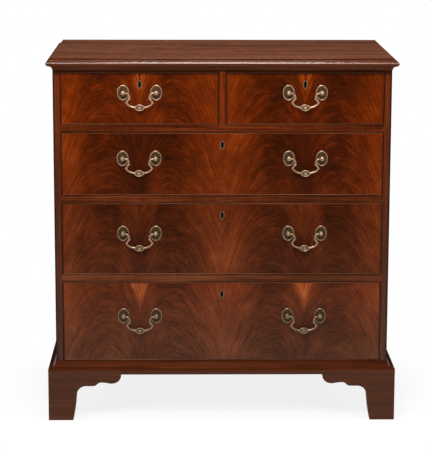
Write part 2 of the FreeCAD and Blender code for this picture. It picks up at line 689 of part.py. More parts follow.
def rose(x, z):
    """Pierced oval rose with a raised rim."""
    y = FRONT_Y
    field_w, field_h = ROSE_W / 2 - ROSE_RIM, ROSE_H / 2 - ROSE_RIM
    plate = oval_y(x, z, ROSE_W / 2, ROSE_H / 2, y - ROSE_RIM_T, y)
    plate = plate.cut(oval_y(x, z, field_w, field_h, y - ROSE_RIM_T, y - ROSE_T))
    for k in range(ROSE_PIERCINGS):
        middle = 2 * math.pi * (k + 0.5) / ROSE_PIERCINGS
        spread = math.pi / ROSE_PIERCINGS
        corners = []
        for share, radius in ((0.0, 0.0), (-PIERCING_SHARE, 1.0), (PIERCING_SHARE, 1.0)):
            turn = middle + share * spread
            out_w = ROSE_HUB_R + radius * (field_w - ROSE_WEB - ROSE_HUB_R)
            out_h = ROSE_HUB_R + radius * (field_h - ROSE_WEB - ROSE_HUB_R)
            corners.append(V(x + out_w * math.cos(turn), y - ROSE_T, z + out_h * math.sin(turn)))
        hole = Part.Face(Part.makePolygon(corners + corners[:1])).extrude(V(0, ROSE_T, 0))
        plate = plate.cut(hole)
    return plate.cut(bar_y(x, z, SCREW_HOLE_R, y - ROSE_T, y))


def nut(x, z, y):
    half = NUT_W / 2
    return box(x - half, x + half, y, y + NUT_T, z - half, z + half).cut(
        bar_y(x, z, SCREW_R + THREAD_CLEAR, y, y + NUT_T))


def smooth_path(start, heading, points):
    """Places along arcs through the points, each arc starting the way the one before it ends."""
    places = [start]
    here, way = start, heading
    for end in points:
        chord = (end[0] - here[0], end[1] - here[1])
        length = math.hypot(*chord)
        turn = math.atan2(way[0] * chord[1] - way[1] * chord[0], way[0] * chord[0] + way[1] * chord[1])
        steps = max(1, round(abs(2 * math.degrees(turn)) / BEND_STEP))
        for k in range(1, steps + 1):
            # a point of the arc is seen from its start at half the angle that the arc has turned
            seen = turn * k / steps
            reach = length * (math.sin(seen) / math.sin(turn) if abs(turn) > 1e-6 else k / steps)
            cos, sin = math.cos(seen), math.sin(seen)
            places.append((here[0] + reach * (way[0] * cos - way[1] * sin),
                           here[1] + reach * (way[0] * sin + way[1] * cos)))
        cos, sin = math.cos(2 * turn), math.sin(2 * turn)
        here, way = end, (way[0] * cos - way[1] * sin, way[0] * sin + way[1] * cos)
    return places


def bent_bar(places, r):
    """Bar of flats along places in the XZ plane, mitred where it turns."""
    ways = []
    for a, b in zip(places, places[1:]):
        length = math.hypot(b[0] - a[0], b[1] - a[1])
        ways.append(((b[0] - a[0]) / length, (b[1] - a[1]) / length))
    rings = []
    for k, place in enumerate(places):
        before, after = ways[max(k - 1, 0)], ways[min(k, len(ways) - 1)]
        mid = (before[0] + after[0], before[1] + after[1])
        size = math.hypot(*mid)
        mid = (mid[0] / size, mid[1] / size)
        wide = 2 / size           # the mitre is longer than the bar is wide
        rings.append([V(place[0] - a * wide * mid[1], b, place[1] + a * wide * mid[0])
                      for a, b in ring_points(r, r, RING_SIDES)])
    return skin(rings)


def bail_side():
    """Left half of a bail, hanging: the pin, the neck that curls out of the post, and the limb."""
    post_x = -POST_CENTRES / 2
    collar = post_x + KNOB_R + BAIL_CLEAR
    pin = bar_x(PIVOT_R, post_x + PIVOT_END, collar + BAIL_SINK, 0.0, 0.0)
    neck = bent_bar(smooth_path((collar, 0.0), (1.0, 0.0), [
        (post_x + 9.0, 0.0), (post_x + 17.0, -8.0), (post_x + 13.6, -18.6),
        (post_x + 8.2, -26.5)]), NECK_R)
    limb = bent_bar(smooth_path((post_x + 18.4, -16.0), (-0.77, -0.64), [
        (post_x + 11.6, -27.5), (-BOSS_W / 2 + 2 * BAIL_SINK, BAIL_SINK - BAIL_DROP)]), LIMB_R)
    return pin.fuse([neck, limb])


def bail(hx, z):
    """Swan-neck bail: two necks that curl out of the posts, two limbs and a dished oval boss."""
    half_w, half_h = BOSS_W / 2, BOSS_H / 2
    face = -BOSS_T / 2
    boss = oval_y(0, -BAIL_DROP, half_w, half_h, face, -face)
    dish = oval_y(0, -BAIL_DROP, half_w - BOSS_RING, half_h - BOSS_RING, face, face + BOSS_DISH)
    patera = oval_y(0, -BAIL_DROP, half_w - 2 * BOSS_RING, half_h - 2 * BOSS_RING,
                    face + PATERA_SUNK, face + BOSS_DISH, KNOB_SIDES)
    half = bail_side()
    shape = boss.fuse([half, mirrored(half)]).cut(dish).fuse(patera).removeSplitter()
    return moved(shape, hx, FRONT_Y - PIVOT_OUT, z)


def make_handles(d):
    for x, side in post_places(d):
        keep(d.name + "_handle_posts", rose(x, d.post_z), post(x, d.post_z, -side),
             nut(x, d.post_z, d.inner_y))
    for hx in d.handles:
        where = "" if len(d.handles) == 1 else ("_left" if hx < d.x else "_right")
        keep(d.name + where + "_bail", bail(hx, d.post_z))


def make_drawer(d):
    make_front(d)
    keep(d.name + "_cockbead", *cockbead_ring(d))
    make_box(d)
    make_lock(d)
    make_handles(d)
    low = d.z0 - DRAWER_GAP
    for sign in (-1, 1):
        x = d.x + sign * ((d.x1 - d.x0) / 2 - STOP_INSET)
        y = d.inner_y + STOP_CLEAR
        keep("drawer_stops", box(x - STOP_L / 2, x + STOP_L / 2, y, y + STOP_D, low, low + STOP_H))


DRAWERS = [
    Drawer("short_left", "short", -SHORT_X, SHORT_W, SHORT_Z, [-SHORT_X]),
    Drawer("short_right", "short", SHORT_X, SHORT_W, SHORT_Z, [SHORT_X]),
    Drawer("upper_long", "upper_long", 0.0, LONG_W, UPPER_Z, [-HANDLE_X, HANDLE_X]),
    Drawer("middle_long", "middle_long", 0.0, LONG_W, MIDDLE_Z, [-HANDLE_X, HANDLE_X]),
    Drawer("lower_long", "lower_long", 0.0, LONG_W, LOWER_Z, [-HANDLE_X, HANDLE_X]),
]

keep("top_board", top_board())
keep("top_moulding", *moulding(neck_profile(), NECK_PROUD))
make_case()
make_base()
for drawer in DRAWERS:
    make_drawer(drawer)

os.makedirs("parts", exist_ok=True)
for name, solids in nodes.items():
    shape = solids[0] if len(solids) == 1 else Part.makeCompound(solids)
    shape.exportStep("parts/" + name + ".step")
    print(name, len(solids), "valid" if shape.isValid() else "NOT VALID", round(shape.Volume / 1000, 2), "cm3")
print(len(nodes), "nodes")
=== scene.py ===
# %% [markdown]
# # A straight-front chest of drawers
# The chest is flame mahogany over oak drawers: two short drawers above three long ones, each edged
# with a small bead and hung with brass swan-neck handles. The joinery comes ready made as a frame of
# plain solids, whose shapes stay as they are. This lesson gives each solid its finish, and makes
# again, with finer curves, the pieces where the eye rests: mouldings, feet, beads, handles and locks.

# %% Load the frame
import json
import math
import bmesh
import bpy
from mathutils import Matrix, Vector


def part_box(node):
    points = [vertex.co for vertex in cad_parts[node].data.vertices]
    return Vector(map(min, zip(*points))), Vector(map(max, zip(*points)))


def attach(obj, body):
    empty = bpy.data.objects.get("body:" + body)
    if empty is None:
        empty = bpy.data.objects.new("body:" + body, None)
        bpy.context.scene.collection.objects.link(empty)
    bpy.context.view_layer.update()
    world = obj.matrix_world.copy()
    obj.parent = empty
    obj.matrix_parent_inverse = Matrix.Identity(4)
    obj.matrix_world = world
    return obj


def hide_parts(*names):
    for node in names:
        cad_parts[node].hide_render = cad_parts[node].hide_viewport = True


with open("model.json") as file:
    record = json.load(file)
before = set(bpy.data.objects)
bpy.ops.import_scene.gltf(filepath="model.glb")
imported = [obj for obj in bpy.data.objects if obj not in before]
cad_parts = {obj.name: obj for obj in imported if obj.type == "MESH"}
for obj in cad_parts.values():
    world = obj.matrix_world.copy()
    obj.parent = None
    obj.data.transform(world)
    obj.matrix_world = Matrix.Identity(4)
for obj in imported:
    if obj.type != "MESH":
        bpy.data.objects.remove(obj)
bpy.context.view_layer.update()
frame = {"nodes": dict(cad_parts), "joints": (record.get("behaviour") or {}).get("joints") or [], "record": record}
nodes = frame["nodes"]

# %% [markdown]
# A cabinet maker thinks in millimetres and Blender in metres, so one small function turns one into
# the other. Colours are named as they look, from 0 to 255, and a second function turns them into the
# linear light that shaders add up. Most finishes need a few tones, from dark to light.

# %% Units and tones
def mm(*values):
    """Millimetres to metres, as a number or a vector."""
    return values[0] * 0.001 if len(values) == 1 else Vector(values) * 0.001


def tone(red, green, blue):
    """A colour as it looks on a screen, as linear light with alpha."""
    parts = [v / 255 for v in (red, green, blue)]
    linear = [v / 12.92 if v <= 0.04045 else ((v + 0.055) / 1.055) ** 2.4 for v in parts]
    return (*linear, 1.0)


def tones(*colours):
    return [tone(*colour) for colour in colours]


print("one inch is", mm(25.4), "m; a mid grey is", round(tone(128, 128, 128)[0], 3))

# %% [markdown]
# Everything new has to sit on the frame, so its places are read from the frame: the front plane, the
# case's sides, the heights of the top and the base, and which body carries each solid.

# %% Places read from the frame
FRONT_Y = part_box("left_side")[0].y
BACK_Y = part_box("left_side")[1].y
CASE_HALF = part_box("right_side")[1].x
CASE_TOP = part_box("left_side")[1].z
CASE_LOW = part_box("bottom_board")[0].z
TOP_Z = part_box("top_board")[1].z
OUT_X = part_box("base_moulding")[1].x
OUT_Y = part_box("base_moulding")[0].y
BASE_H = 22.0               # of the hollow moulding, in mm; below it the same solid is a plain band
BASE_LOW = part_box("base_moulding")[1].z - mm(BASE_H)
DRAWERS = ["short_left", "short_right", "upper_long", "middle_long", "lower_long"]
body_of = {node: body for body, listed in frame["record"]["behaviour"]["bodies"].items()
           for node in listed}
print("front plane y:", round(FRONT_Y, 4), "case half width:", round(CASE_HALF, 4))

# %% [markdown]
# The camera stands five metres off, a little left of the middle and above the top, and looks gently
# down. From there a long lens keeps the uprights nearly parallel. Its place comes from matching the
# chest's own edges, and no lens shift is needed.

# %% Camera
LONG_SIDE_PX = 449
FOCAL_PX = 1875.4
SENSOR = 36.0
EYE = Vector((-0.0986, -5.2596, 1.5110))
PITCH, YAW, ROLL = 0.1906, 0.0164, 0.0026


def into_scene(name, data):
    """Makes an object of its data and puts it into the scene."""
    thing = bpy.data.objects.new(name, data)
    bpy.context.scene.collection.objects.link(thing)
    return thing


def make_camera():
    lens = bpy.data.cameras.new("camera")
    lens.sensor_width = SENSOR
    lens.sensor_fit = "AUTO"
    lens.lens = FOCAL_PX / LONG_SIDE_PX * SENSOR
    ahead = Vector((math.sin(YAW) * math.cos(PITCH), math.cos(YAW) * math.cos(PITCH), -math.sin(PITCH)))
    level = Vector((math.cos(YAW), -math.sin(YAW), 0.0))
    upward = level.cross(ahead)
    right = level * math.cos(ROLL) + upward * math.sin(ROLL)
    top = upward * math.cos(ROLL) - level * math.sin(ROLL)
    turn = Matrix((right, top, -ahead)).transposed()
    eye = into_scene("camera", lens)
    eye.matrix_world = Matrix.Translation(EYE) @ turn.to_4x4()
    bpy.context.scene.camera = eye
    print("lens:", round(lens.lens, 1), "mm")


make_camera()

# %% [markdown]
# A node material is a small recipe: coordinates go in, patterns and colours are mixed, and a shader
# turns them into gloss and grain. Adding nodes by hand takes many lines, so this class keeps the
# recipe readable: each call adds one node, joins what it's given, and returns the node's output.

# %% A recipe of nodes
class Finish:
    """The recipe of a new material, or of the owner that is given."""

    def __init__(self, name, owner=None):
        self.owner = owner or bpy.data.materials.new(name)
        self.owner.use_nodes = True
        self.tree = self.owner.node_tree
        self.tree.nodes.clear()

    def node(self, kind, sockets=None, out=0, **settings):
        """Adds a shader node, sets or joins its sockets, and returns one output."""
        added = self.tree.nodes.new("ShaderNode" + kind)
        for name, value in settings.items():
            setattr(added, name, value)
        for name, value in (sockets or {}).items():
            if isinstance(value, bpy.types.NodeSocket):
                self.tree.links.new(value, added.inputs[name])
            else:
                added.inputs[name].default_value = value
        return added.outputs[out]

    def math(self, operation, a, b=0.0, c=0.0):
        return self.node("Math", {0: a, 1: b, 2: c}, operation=operation)

    def add(self, *values):
        total = values[0]
        for value in values[1:]:
            total = self.math("ADD", total, value)
        return total

    def times(self, *values):
        total = values[0]
        for value in values[1:]:
            total = self.math("MULTIPLY", total, value)
        return total

    def less(self, a, b):
        return self.math("SUBTRACT", a, b)

    def swing(self, value, weight):
        """How far a value swings to either side of a half, times a weight."""
        return self.times(self.add(value, -0.5), weight)

    def here(self):
        """The object's own X, Y and Z at a point."""
        return self.node("SeparateXYZ", {0: self.node("TexCoord", out="Object")}).node.outputs

    def place(self, at=(0, 0, 0), scale=(1, 1, 1)):
        """The object's own coordinates, centred and stretched."""
        point = self.node("TexCoord", out="Object")
        moved = self.node("Mapping", {"Vector": point, "Location": [-v for v in at]})
        return self.node("Mapping", {"Vector": moved, "Scale": scale})

    def noise(self, where, scale, detail=4.0, rough=0.55, distortion=0.0):
        return self.node("TexNoise", {"Vector": where, "Scale": scale, "Detail": detail,
                                      "Roughness": rough, "Distortion": distortion}, out="Fac")

    def span(self, value, low, high, new_low=0.0, new_high=1.0, smooth=False):
        """Value between low and high, taken to a new range and held there."""
        kind = "SMOOTHSTEP" if smooth else "LINEAR"
        return self.node("MapRange", {"Value": value, "From Min": low, "From Max": high,
                                      "To Min": new_low, "To Max": new_high}, interpolation_type=kind)

    def ramp(self, value, colours, places=(0.0, 0.5, 1.0)):
        """Colours set at places of the value, and blended in between."""
        colour = self.node("ValToRGB", {"Fac": value})
        marks = colour.node.color_ramp.elements
        while len(marks) < len(colours):
            marks.new(0.5)
        for mark, position, there in zip(marks, places, colours):
            mark.position = position
            mark.color = there
        return colour

    def mix(self, share, a, b, blend="MIX"):
        return self.node("Mix", {0: share, 6: a, 7: b}, out=2, data_type="RGBA", blend_type=blend)

    def finish(self, shader, output="OutputMaterial"):
        end = self.tree.nodes.new("ShaderNode" + output)
        self.tree.links.new(shader, end.inputs["Surface"])
        return self.owner


print("recipe class ready:", Finish.__name__)

# %% [markdown]
# French polish is shellac rubbed on in many thin coats. Over the wood lies one smooth clear skin, and
# old shellac has an amber tint, so what shines in the wood is warm. Every polished piece shares this
# last step: a satin wood below, a glossier coat above, and a trace of relief where open pores weren't
# filled. The coat is thick on a rubbed edge and almost gone from a bead that hands have worn.

# %% Polish
POLISH_COAT = 0.25
POLISH_COAT_ROUGHNESS = 0.14
POLISH_SPECULAR = 0.16
OLD_SHELLAC = (1.0, 0.80, 0.68, 1.0)


def polished(f, colour, roughness, relief, coat=POLISH_COAT, gleam=POLISH_SPECULAR):
    """The polished surface of a wood; relief is the height of its grain, from 0 to 1."""
    bump = f.node("Bump", {"Height": relief, "Strength": 0.15, "Distance": mm(0.3)})
    return f.finish(f.node("BsdfPrincipled", {
        "Base Color": colour, "Roughness": roughness, "Normal": bump,
        "Specular IOR Level": gleam, "Specular Tint": OLD_SHELLAC, "Coat Weight": coat,
        "Coat Roughness": POLISH_COAT_ROUGHNESS, "Coat Normal": bump}))


print("coat weight:", POLISH_COAT)

# %% [markdown]
# Painted shade: the shadow that the top's overhang casts under its moulding is painted dark, and so
# is a line down each front corner of the case. The recipe asks how far a point lies from there.

# %% Painted shade under the top and at the corners
# the dark of the painted shade under the top and at the corners, and of the real wax in board joints
DARK_WAX_AND_SHADE = tone(30, 13, 6)
UNDER_TOP_SHADE_LOW, UNDER_TOP_SHADE_HIGH = CASE_TOP - mm(29), CASE_TOP - mm(18)
CORNER_DARK, CORNER_CLEAR = mm(1.5), mm(5.5)


def shadow_under_top(f):
    """How much painted shadow of the top's overhang a point gets, from 0 to 1."""
    return f.span(f.here()["Z"], UNDER_TOP_SHADE_LOW, UNDER_TOP_SHADE_HIGH, 0.0, 0.8, smooth=True)


def shade_under_top_and_corners(f):
    """The same, and a painted dark line of shade down the case's front corners."""
    here = f.here()
    beside = f.less(f.math("ABSOLUTE", here["X"]), CASE_HALF)
    behind = f.less(here["Y"], FRONT_Y)
    reach = f.math("SQRT", f.add(f.times(beside, beside), f.times(behind, behind)))
    return f.math("MAXIMUM", f.span(reach, CORNER_DARK, CORNER_CLEAR, 0.9, 0.0), shadow_under_top(f))


print("wax darkens from z", round(UNDER_TOP_SHADE_LOW, 3), "to", round(UNDER_TOP_SHADE_HIGH, 3))

# %% [markdown]
# Straight-grained mahogany has long soft streaks, broad bands from its growth, a faint shimmer
# across the grain where the fibres lean to and fro, and short dark pores. Each is a noise that is
# stretched along the grain. One function makes them all, and is told which way a board's grain runs.
# Light and its reflections are painted too: the light falls from above and the pale floor veils the
# lower wood, so towards the floor a second set of darker, greyer tones takes over.

# %% Straight-grained mahogany
# between these heights, in metres, the painted shade and sheen of the lower wood takes over
LOW_SHADE_BOTTOM, LOW_SHADE_TOP = 0.15, 0.98
# of each layer: waves per metre along and across the grain, detail, roughness, distortion if any
STREAKS = (5, 150, 6.0, 0.62, 0.6)
BANDS = (1.6, 22, 3.0, 0.5, 0.8)
SHIMMER = (42, 9, 3.0, 0.6, 1.2)
PORES = (70, 1500, 2.0, 0.5)
PLANED = (6, 190, 5.0, 0.6)


def grained(f, grain, start, along, across):
    """Places stretched along the grain, which runs along x, y or z."""
    return f.place(start, [along if axis == grain else across for axis in "xyz"])


def layer(f, grain, start, along, across, *texture):
    """One such noise, drawn out along the grain."""
    return f.noise(grained(f, grain, start, along, across), 1.0, *texture)


def mahogany(name, grain, colours, start, figure=0.12, roughness=0.23, low_shade_tones=None,
             coat=POLISH_COAT, gleam=POLISH_SPECULAR, shade_mask=None):
    """Polished straight mahogany; figure is how strongly it shimmers, low_shade_tones its painted shade and sheen
    near the floor.
    """
    f = Finish(name)
    streak = layer(f, grain, start, *STREAKS)
    band = layer(f, grain, start, *BANDS)
    shimmer = layer(f, grain, start, *SHIMMER)
    pore = f.span(layer(f, grain, start, *PORES), 0.62, 0.72)
    share = f.span(f.add(f.times(streak, 0.55), f.times(band, 0.45), f.swing(shimmer, figure)), 0.32, 0.68)
    colour = f.ramp(share, colours)
    # painted shade and sheen: darker, greyer tones take over towards the floor
    if low_shade_tones:
        colour = f.mix(f.span(f.here()["Z"], LOW_SHADE_TOP, LOW_SHADE_BOTTOM), colour, f.ramp(share, low_shade_tones))
    colour = f.mix(f.times(pore, 0.45), colour, colours[0])
    # painted shade where shade_mask says: the top's shadow and the dark corners
    if shade_mask:
        colour = f.mix(shade_mask(f), colour, DARK_WAX_AND_SHADE)
    gloss = f.add(f.span(streak, 0.3, 0.7, roughness - 0.05, roughness + 0.07), f.times(pore, 0.15))
    return polished(f, colour, gloss, f.less(f.times(streak, 0.4), pore), coat, gleam)


print("layers in a mahogany:", len((STREAKS, BANDS, SHIMMER, PORES)))

# %% [markdown]
# No two boards are alike, so each finish has three tones, from dark to light, and a place in the
# noise. The top is paled by use and light. Its edge has kept a thick coat, which catches the lamp
# along the bead, while hollows and undersides are dull. Rails and sides carry painted shade: the
# shadow under the top, on the sides a dark line down the front corners, and darker, greyer tones of
# painted shade and sheen near the floor.

# %% Mahogany of the case
BASE_TONES = tones((48, 18, 6), (78, 32, 11), (104, 48, 20))
EDGE_TONES = tones((56, 24, 10), (88, 40, 20), (116, 58, 32))
EDGE_COAT = 0.75

# the sides: painted shade down the front corners and under the top, and painted shade and sheen low down
side_wood = mahogany("side_mahogany", "z", tones((62, 21, 4), (90, 35, 9), (116, 50, 16)),
                     (0.3, 0.1, 0.0), low_shade_tones=tones((46, 25, 15), (70, 41, 28), (92, 56, 38)),
                     shade_mask=shade_under_top_and_corners)
rail_wood = mahogany("rail_mahogany", "x", tones((38, 12, 2), (94, 34, 6), (144, 63, 17)),
                     (0.1, 0.7, 0.2), low_shade_tones=tones((34, 15, 6), (73, 38, 18), (110, 65, 38)),
                     shade_mask=shadow_under_top)
divider_wood = mahogany("divider_mahogany", "z", tones((66, 21, 3), (104, 37, 6), (132, 54, 12)),
                        (0.3, 0.1, 0.0))
base_wood = mahogany("base_mahogany", "x", BASE_TONES, (0.6, 0.1, 0.5), roughness=0.5, coat=0.0,
                     gleam=0.05)
base_side_wood = mahogany("base_side_mahogany", "y", BASE_TONES, (0.4, 0.7, 0.2), coat=0.3)
top_wood = mahogany("top_mahogany", "x", tones((78, 38, 22), (116, 66, 44), (148, 88, 56)),
                    (0.5, 0.2, 0.4), figure=0.2)
edge_wood = mahogany("edge_mahogany", "x", EDGE_TONES, (0.8, 0.4, 0.1), roughness=0.30, coat=EDGE_COAT,
                     gleam=1.0)
edge_side_wood = mahogany("edge_side_mahogany", "y", EDGE_TONES, (0.2, 0.9, 0.3), coat=EDGE_COAT)
dull_edge_wood = mahogany("dull_edge_mahogany", "x", tones((53, 24, 11), (82, 40, 21), (106, 56, 33)),
                          (0.4, 0.6, 0.2), coat=0.08, gleam=0.08)
print("straight mahogany:", len(bpy.data.materials), "finishes")

# %% [markdown]
# The drawer fronts are the show of the chest. Their veneer is cut where the trunk forks, so the
# fibres rise up the middle like a fountain, lean out and fall to both sides. Every streak of light
# and dark follows those arcs. The recipe bends space the same way: it takes the height of each
# point, subtracts the height of the fountain's arc above it, and draws noise in that bent space, long
# along the arcs and fine across them. A few broad shapes lie over it: a glowing V at the head of a
# feather with a dark line in its heart, dark shoulders beside it, a dark spine below, and pale ends.

# %% Figure of the flame
FEATHER = mm(100)         # everything in the figure is measured in tenths of a metre
ARC_RISE, ARC_REACH, ARC_FALL, ARC_DRIFT = 1.6, 0.45, 0.24, 0.55
# how much each layer and each broad shape adds to the light
PLUME, STREAK, CLOUD, FIBRE, MOTTLE, PATCH, BALANCE = 0.44, 0.72, 0.46, 0.42, 0.26, 0.20, -0.405
SHOULDER, SPINE, PALE_END = -0.17, -0.12, 0.15


def arcs(f, across, u, v, seed):
    """A maker of noises that lie along the fountain's arcs, and the space that isn't bent."""
    flow = f.node("CombineXYZ", {"X": across, "Y": v, "Z": seed})
    rise = f.times(f.less(1.0, f.math("EXPONENT", f.times(u, -1 / ARC_REACH))), ARC_RISE)
    above = f.less(v, f.less(rise, f.times(u, u, u, ARC_FALL)))
    bent_up = f.add(above, f.swing(f.noise(flow, 1.1, 3.0, 0.5), ARC_DRIFT))

    def along_arcs(fine, length, detail, rough=0.6):
        bent = f.node("CombineXYZ", {"X": f.times(across, length), "Y": f.times(bent_up, fine),
                                     "Z": seed * 1.7 + fine})
        return f.noise(bent, 1.0, detail, rough)

    return along_arcs, flow


def flame_share(f, across, u, v, seed, vee=0.22, vee_depth=0.8, vee_glow=1.0, heart_line=0.3, shade=0.8,
                shade_from=0.35):
    """How light the veneer is at a point, from 0 to 1, and its streaks, fibres and pores.

    u is how far the point lies from its feather's axis, and v how high, from 0 at the front's top.
    """
    along_arcs, flow = arcs(f, across, u, v, seed)
    plume = along_arcs(4.5, 1.4, 4.0)
    streak = along_arcs(18.0, 3.2, 4.0, 0.62)
    fibre = along_arcs(64.0, 12.0, 3.0)
    pores = f.span(along_arcs(260.0, 22.0, 2.0), 0.62, 0.74)
    mottle = f.noise(flow, 15.0, 3.0, 0.6)
    patch = f.noise(flow, 3.6, 2.0, 0.5)
    cloud = f.noise(flow, 0.9, 2.0, 0.5)

    from_vee = f.less(u, f.times(f.add(v, vee_depth), vee / vee_depth))
    glow = f.times(f.span(from_vee, 0.10, -0.10, smooth=True), vee_glow)
    heart = f.times(f.span(u, 0.07, 0.0, smooth=True), f.span(v, -vee_depth, -0.25))
    shoulder = f.times(f.span(u, shade_from, shade_from + 0.25, smooth=True),
                       f.span(u, 1.5, 0.85, smooth=True), f.span(v, -1.5, -0.1, 0.35, 1.0))
    spine = f.times(f.span(u, 0.5, 0.0, smooth=True), f.span(v, -0.7, -1.2, smooth=True))
    end = f.span(u, 1.35, 2.0, smooth=True)
    share = f.add(f.times(plume, PLUME), f.times(streak, STREAK), f.times(cloud, CLOUD), BALANCE,
                  f.swing(fibre, FIBRE), f.swing(mottle, MOTTLE), f.swing(patch, PATCH),
                  f.times(shoulder, SHOULDER * shade), f.times(spine, SPINE * shade),
                  f.times(end, PALE_END), f.times(glow, f.span(streak, 0.3, 0.7, 0.16, 0.48)),
                  f.times(heart, -heart_line * vee_glow))
    return share, streak, fibre, pores


print("the arcs rise", ARC_RISE, "tenths of a metre")

# %% [markdown]
# The veneer is only a skin, glued to a plain core, so behind it and inside the drawer a front is
# planed wood without polish. The pale floor's reflection greys the lower fronts more than the upper
# ones, and it is painted: a second ramp of greyer tones takes over down each front. Brightness scales
# the tones of the whole front. Long drawers carry two feathers cut as a mirrored pair, and short
# drawers one.

# %% Flame veneer
FLAME_PLACES = (0.0, 0.3, 0.55, 0.8, 1.0)
FLAME_TONES = tones((44, 16, 4), (82, 27, 2), (122, 43, 3), (166, 69, 10), (204, 98, 24))
PAINTED_SHEEN_TONES = tones((46, 20, 8), (76, 36, 16), (102, 54, 29), (130, 75, 43), (156, 98, 60))
CORE_TONES = tones((76, 44, 26), (110, 72, 44), (138, 98, 62))
CORE_ROUGHNESS = 0.7
VENEER_BACK = FRONT_Y + mm(1.4)
LONG_AXIS, SHORT_AXIS = mm(224.5), mm(222.25)


def wear(names, material):
    """Gives CAD solids a finish, and leaves their shape alone."""
    for name in names:
        slots = nodes[name].data.materials
        slots.clear()
        slots.append(material)


def flame(drawer, axis, seed, brightness, painted_sheen=(0.0, 0.0), **figure):
    """Veneer with its feathers' axis at x = -axis and +axis, or only at axis on a short drawer.

    painted_sheen is the share of the greyer tones, painted reflected sheen, at the top and at the bottom of the
    front.
    """
    low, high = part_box(drawer + "_front")
    f = Finish(drawer + "_flame_veneer")
    split = f.node("SeparateXYZ", {0: f.place((0, 0, high.z), (1 / FEATHER,) * 3)}).node.outputs
    across, v = split["X"], split["Z"]
    mirrored = across if drawer.startswith("short") else f.math("ABSOLUTE", across)
    u = f.math("ABSOLUTE", f.add(mirrored, -axis / FEATHER))
    share, streak, fibre, pores = flame_share(f, across, u, v, seed, **figure)
    # painted reflected sheen: greyer tones take over down the front
    sheen_share = f.span(v, 0.0, (low.z - high.z) / FEATHER, *painted_sheen)
    colour = f.mix(sheen_share, *(f.ramp(share, ramp, FLAME_PLACES) for ramp in (FLAME_TONES, PAINTED_SHEEN_TONES)))
    colour = f.mix(f.times(pores, 0.4), colour, FLAME_TONES[0])
    colour = f.mix(1.0, colour, (brightness, brightness, brightness, 1.0), "MULTIPLY")
    # painted shadow of the top's overhang, darkening the upper edge of the fronts
    colour = f.mix(shadow_under_top(f), colour, DARK_WAX_AND_SHADE)
    behind = f.math("GREATER_THAN", split["Y"], VENEER_BACK / FEATHER)
    core = f.ramp(layer(f, "x", (seed, 0.3, 0.2), *PLANED), CORE_TONES, (0.3, 0.5, 0.7))
    colour = f.mix(behind, colour, core)
    gloss = f.math("MAXIMUM", f.span(streak, 0.3, 0.7, 0.19, 0.26), f.times(behind, CORE_ROUGHNESS))
    coat = f.math("MULTIPLY_ADD", behind, -POLISH_COAT, POLISH_COAT)
    wear([drawer + "_front"], polished(f, colour, gloss, f.less(f.times(fibre, 0.3), pores), coat))


flame("short_left", -SHORT_AXIS, 1.3, brightness=0.87)
flame("short_right", SHORT_AXIS, 5.1, brightness=0.75)
flame("upper_long", LONG_AXIS, 9.7, brightness=0.74, painted_sheen=(0.0, 0.2), vee_glow=0.1, shade=1.2,
      shade_from=-0.3)
flame("middle_long", LONG_AXIS, 14.2, brightness=0.66, painted_sheen=(0.3, 0.55), vee_glow=0.2, shade=1.2)
flame("lower_long", LONG_AXIS, 21.9, brightness=0.78, painted_sheen=(0.3, 1.0), vee=0.28, vee_depth=0.7,
      vee_glow=1.2, heart_line=0.0)
print("flame fronts:", len(DRAWERS))

# %% [markdown]
# Hidden wood isn't polished. It was planed, then left to age, so it is dry: it gets no coat, little
# gloss, and grime in patches. Its open pores lie in short dashes along the grain. One solid may hold
# boards that run different ways, such as a drawer's sides and back, so the recipe can turn the grain
# behind a plane. It can also lay a row of boards, each with its own figure and tone, and a dark line
# where it meets the next.

# %% Dry wood
JOINT_DARK, JOINT_CLEAR = mm(0.6), mm(2.0)
NEXT_BOARD = (5.7, 3.1, 7.9)        # how far one board's noise lies from the next one's


def bare_wood(name, grain, colours, band_scale, pore_weight, start, turned_from=None, boards=None):
    """Dry wood. Behind turned_from its grain runs along x; boards is (where a row starts, width)."""
    f = Finish(name)
    here = f.here()
    number = f.times(f.add(here["X"], -boards[0]), 1 / boards[1]) if boards else 0.0
    board = f.math("FLOOR", number)
    moved = f.node("CombineXYZ", {axis: f.times(board, step) for axis, step in zip("XYZ", NEXT_BOARD)})

    def laid(along, across, *texture):
        where = grained(f, grain, start, along, across)
        if turned_from:
            behind = f.math("GREATER_THAN", here["Y"], turned_from)
            turned = grained(f, "x", start, along, across)
            where = f.node("Mix", {0: behind, 4: where, 5: turned}, out=1, data_type="VECTOR")
        return f.noise(f.node("VectorMath", {0: where, 1: moved}, operation="ADD"), 1.0, *texture)

    band = laid(1.2, band_scale, 3.0, 0.55, 1.0)
    streak = laid(*PLANED)
    pores = f.span(laid(60, 1300, 2.0), 0.60, 0.70)
    grime = f.noise(f.place(start, (3, 3, 3)), 1.0, 4.0, 0.6)
    share = f.span(f.add(f.times(band, 0.6), f.times(streak, 0.4)), 0.33, 0.67)
    if boards:
        share = f.add(share, f.times(f.math("FRACT", f.times(board, 0.618)), 0.3), -0.15)
    colour = f.mix(f.times(pores, pore_weight), f.ramp(share, colours), colours[0])
    colour = f.mix(f.span(grime, 0.5, 0.75, 0.0, 0.5), colour, colours[0])
    if boards:
        from_middle = f.math("ABSOLUTE", f.add(f.math("FRACT", number), -0.5))
        joint = f.span(from_middle, 0.5 - JOINT_CLEAR / boards[1], 0.5 - JOINT_DARK / boards[1], 0.0, 0.85)
        colour = f.mix(joint, colour, DARK_WAX_AND_SHADE)
    height = f.less(f.times(streak, 0.5), pores)
    bump = f.node("Bump", {"Height": height, "Strength": 0.35, "Distance": mm(0.4)})
    return f.finish(f.node("BsdfPrincipled", {
        "Base Color": colour, "Roughness": f.span(streak, 0.3, 0.7, 0.62, 0.78), "Normal": bump,
        "Specular IOR Level": 0.3}))


print("joint between two boards:", 2 * JOINT_DARK, "m of dark wax")

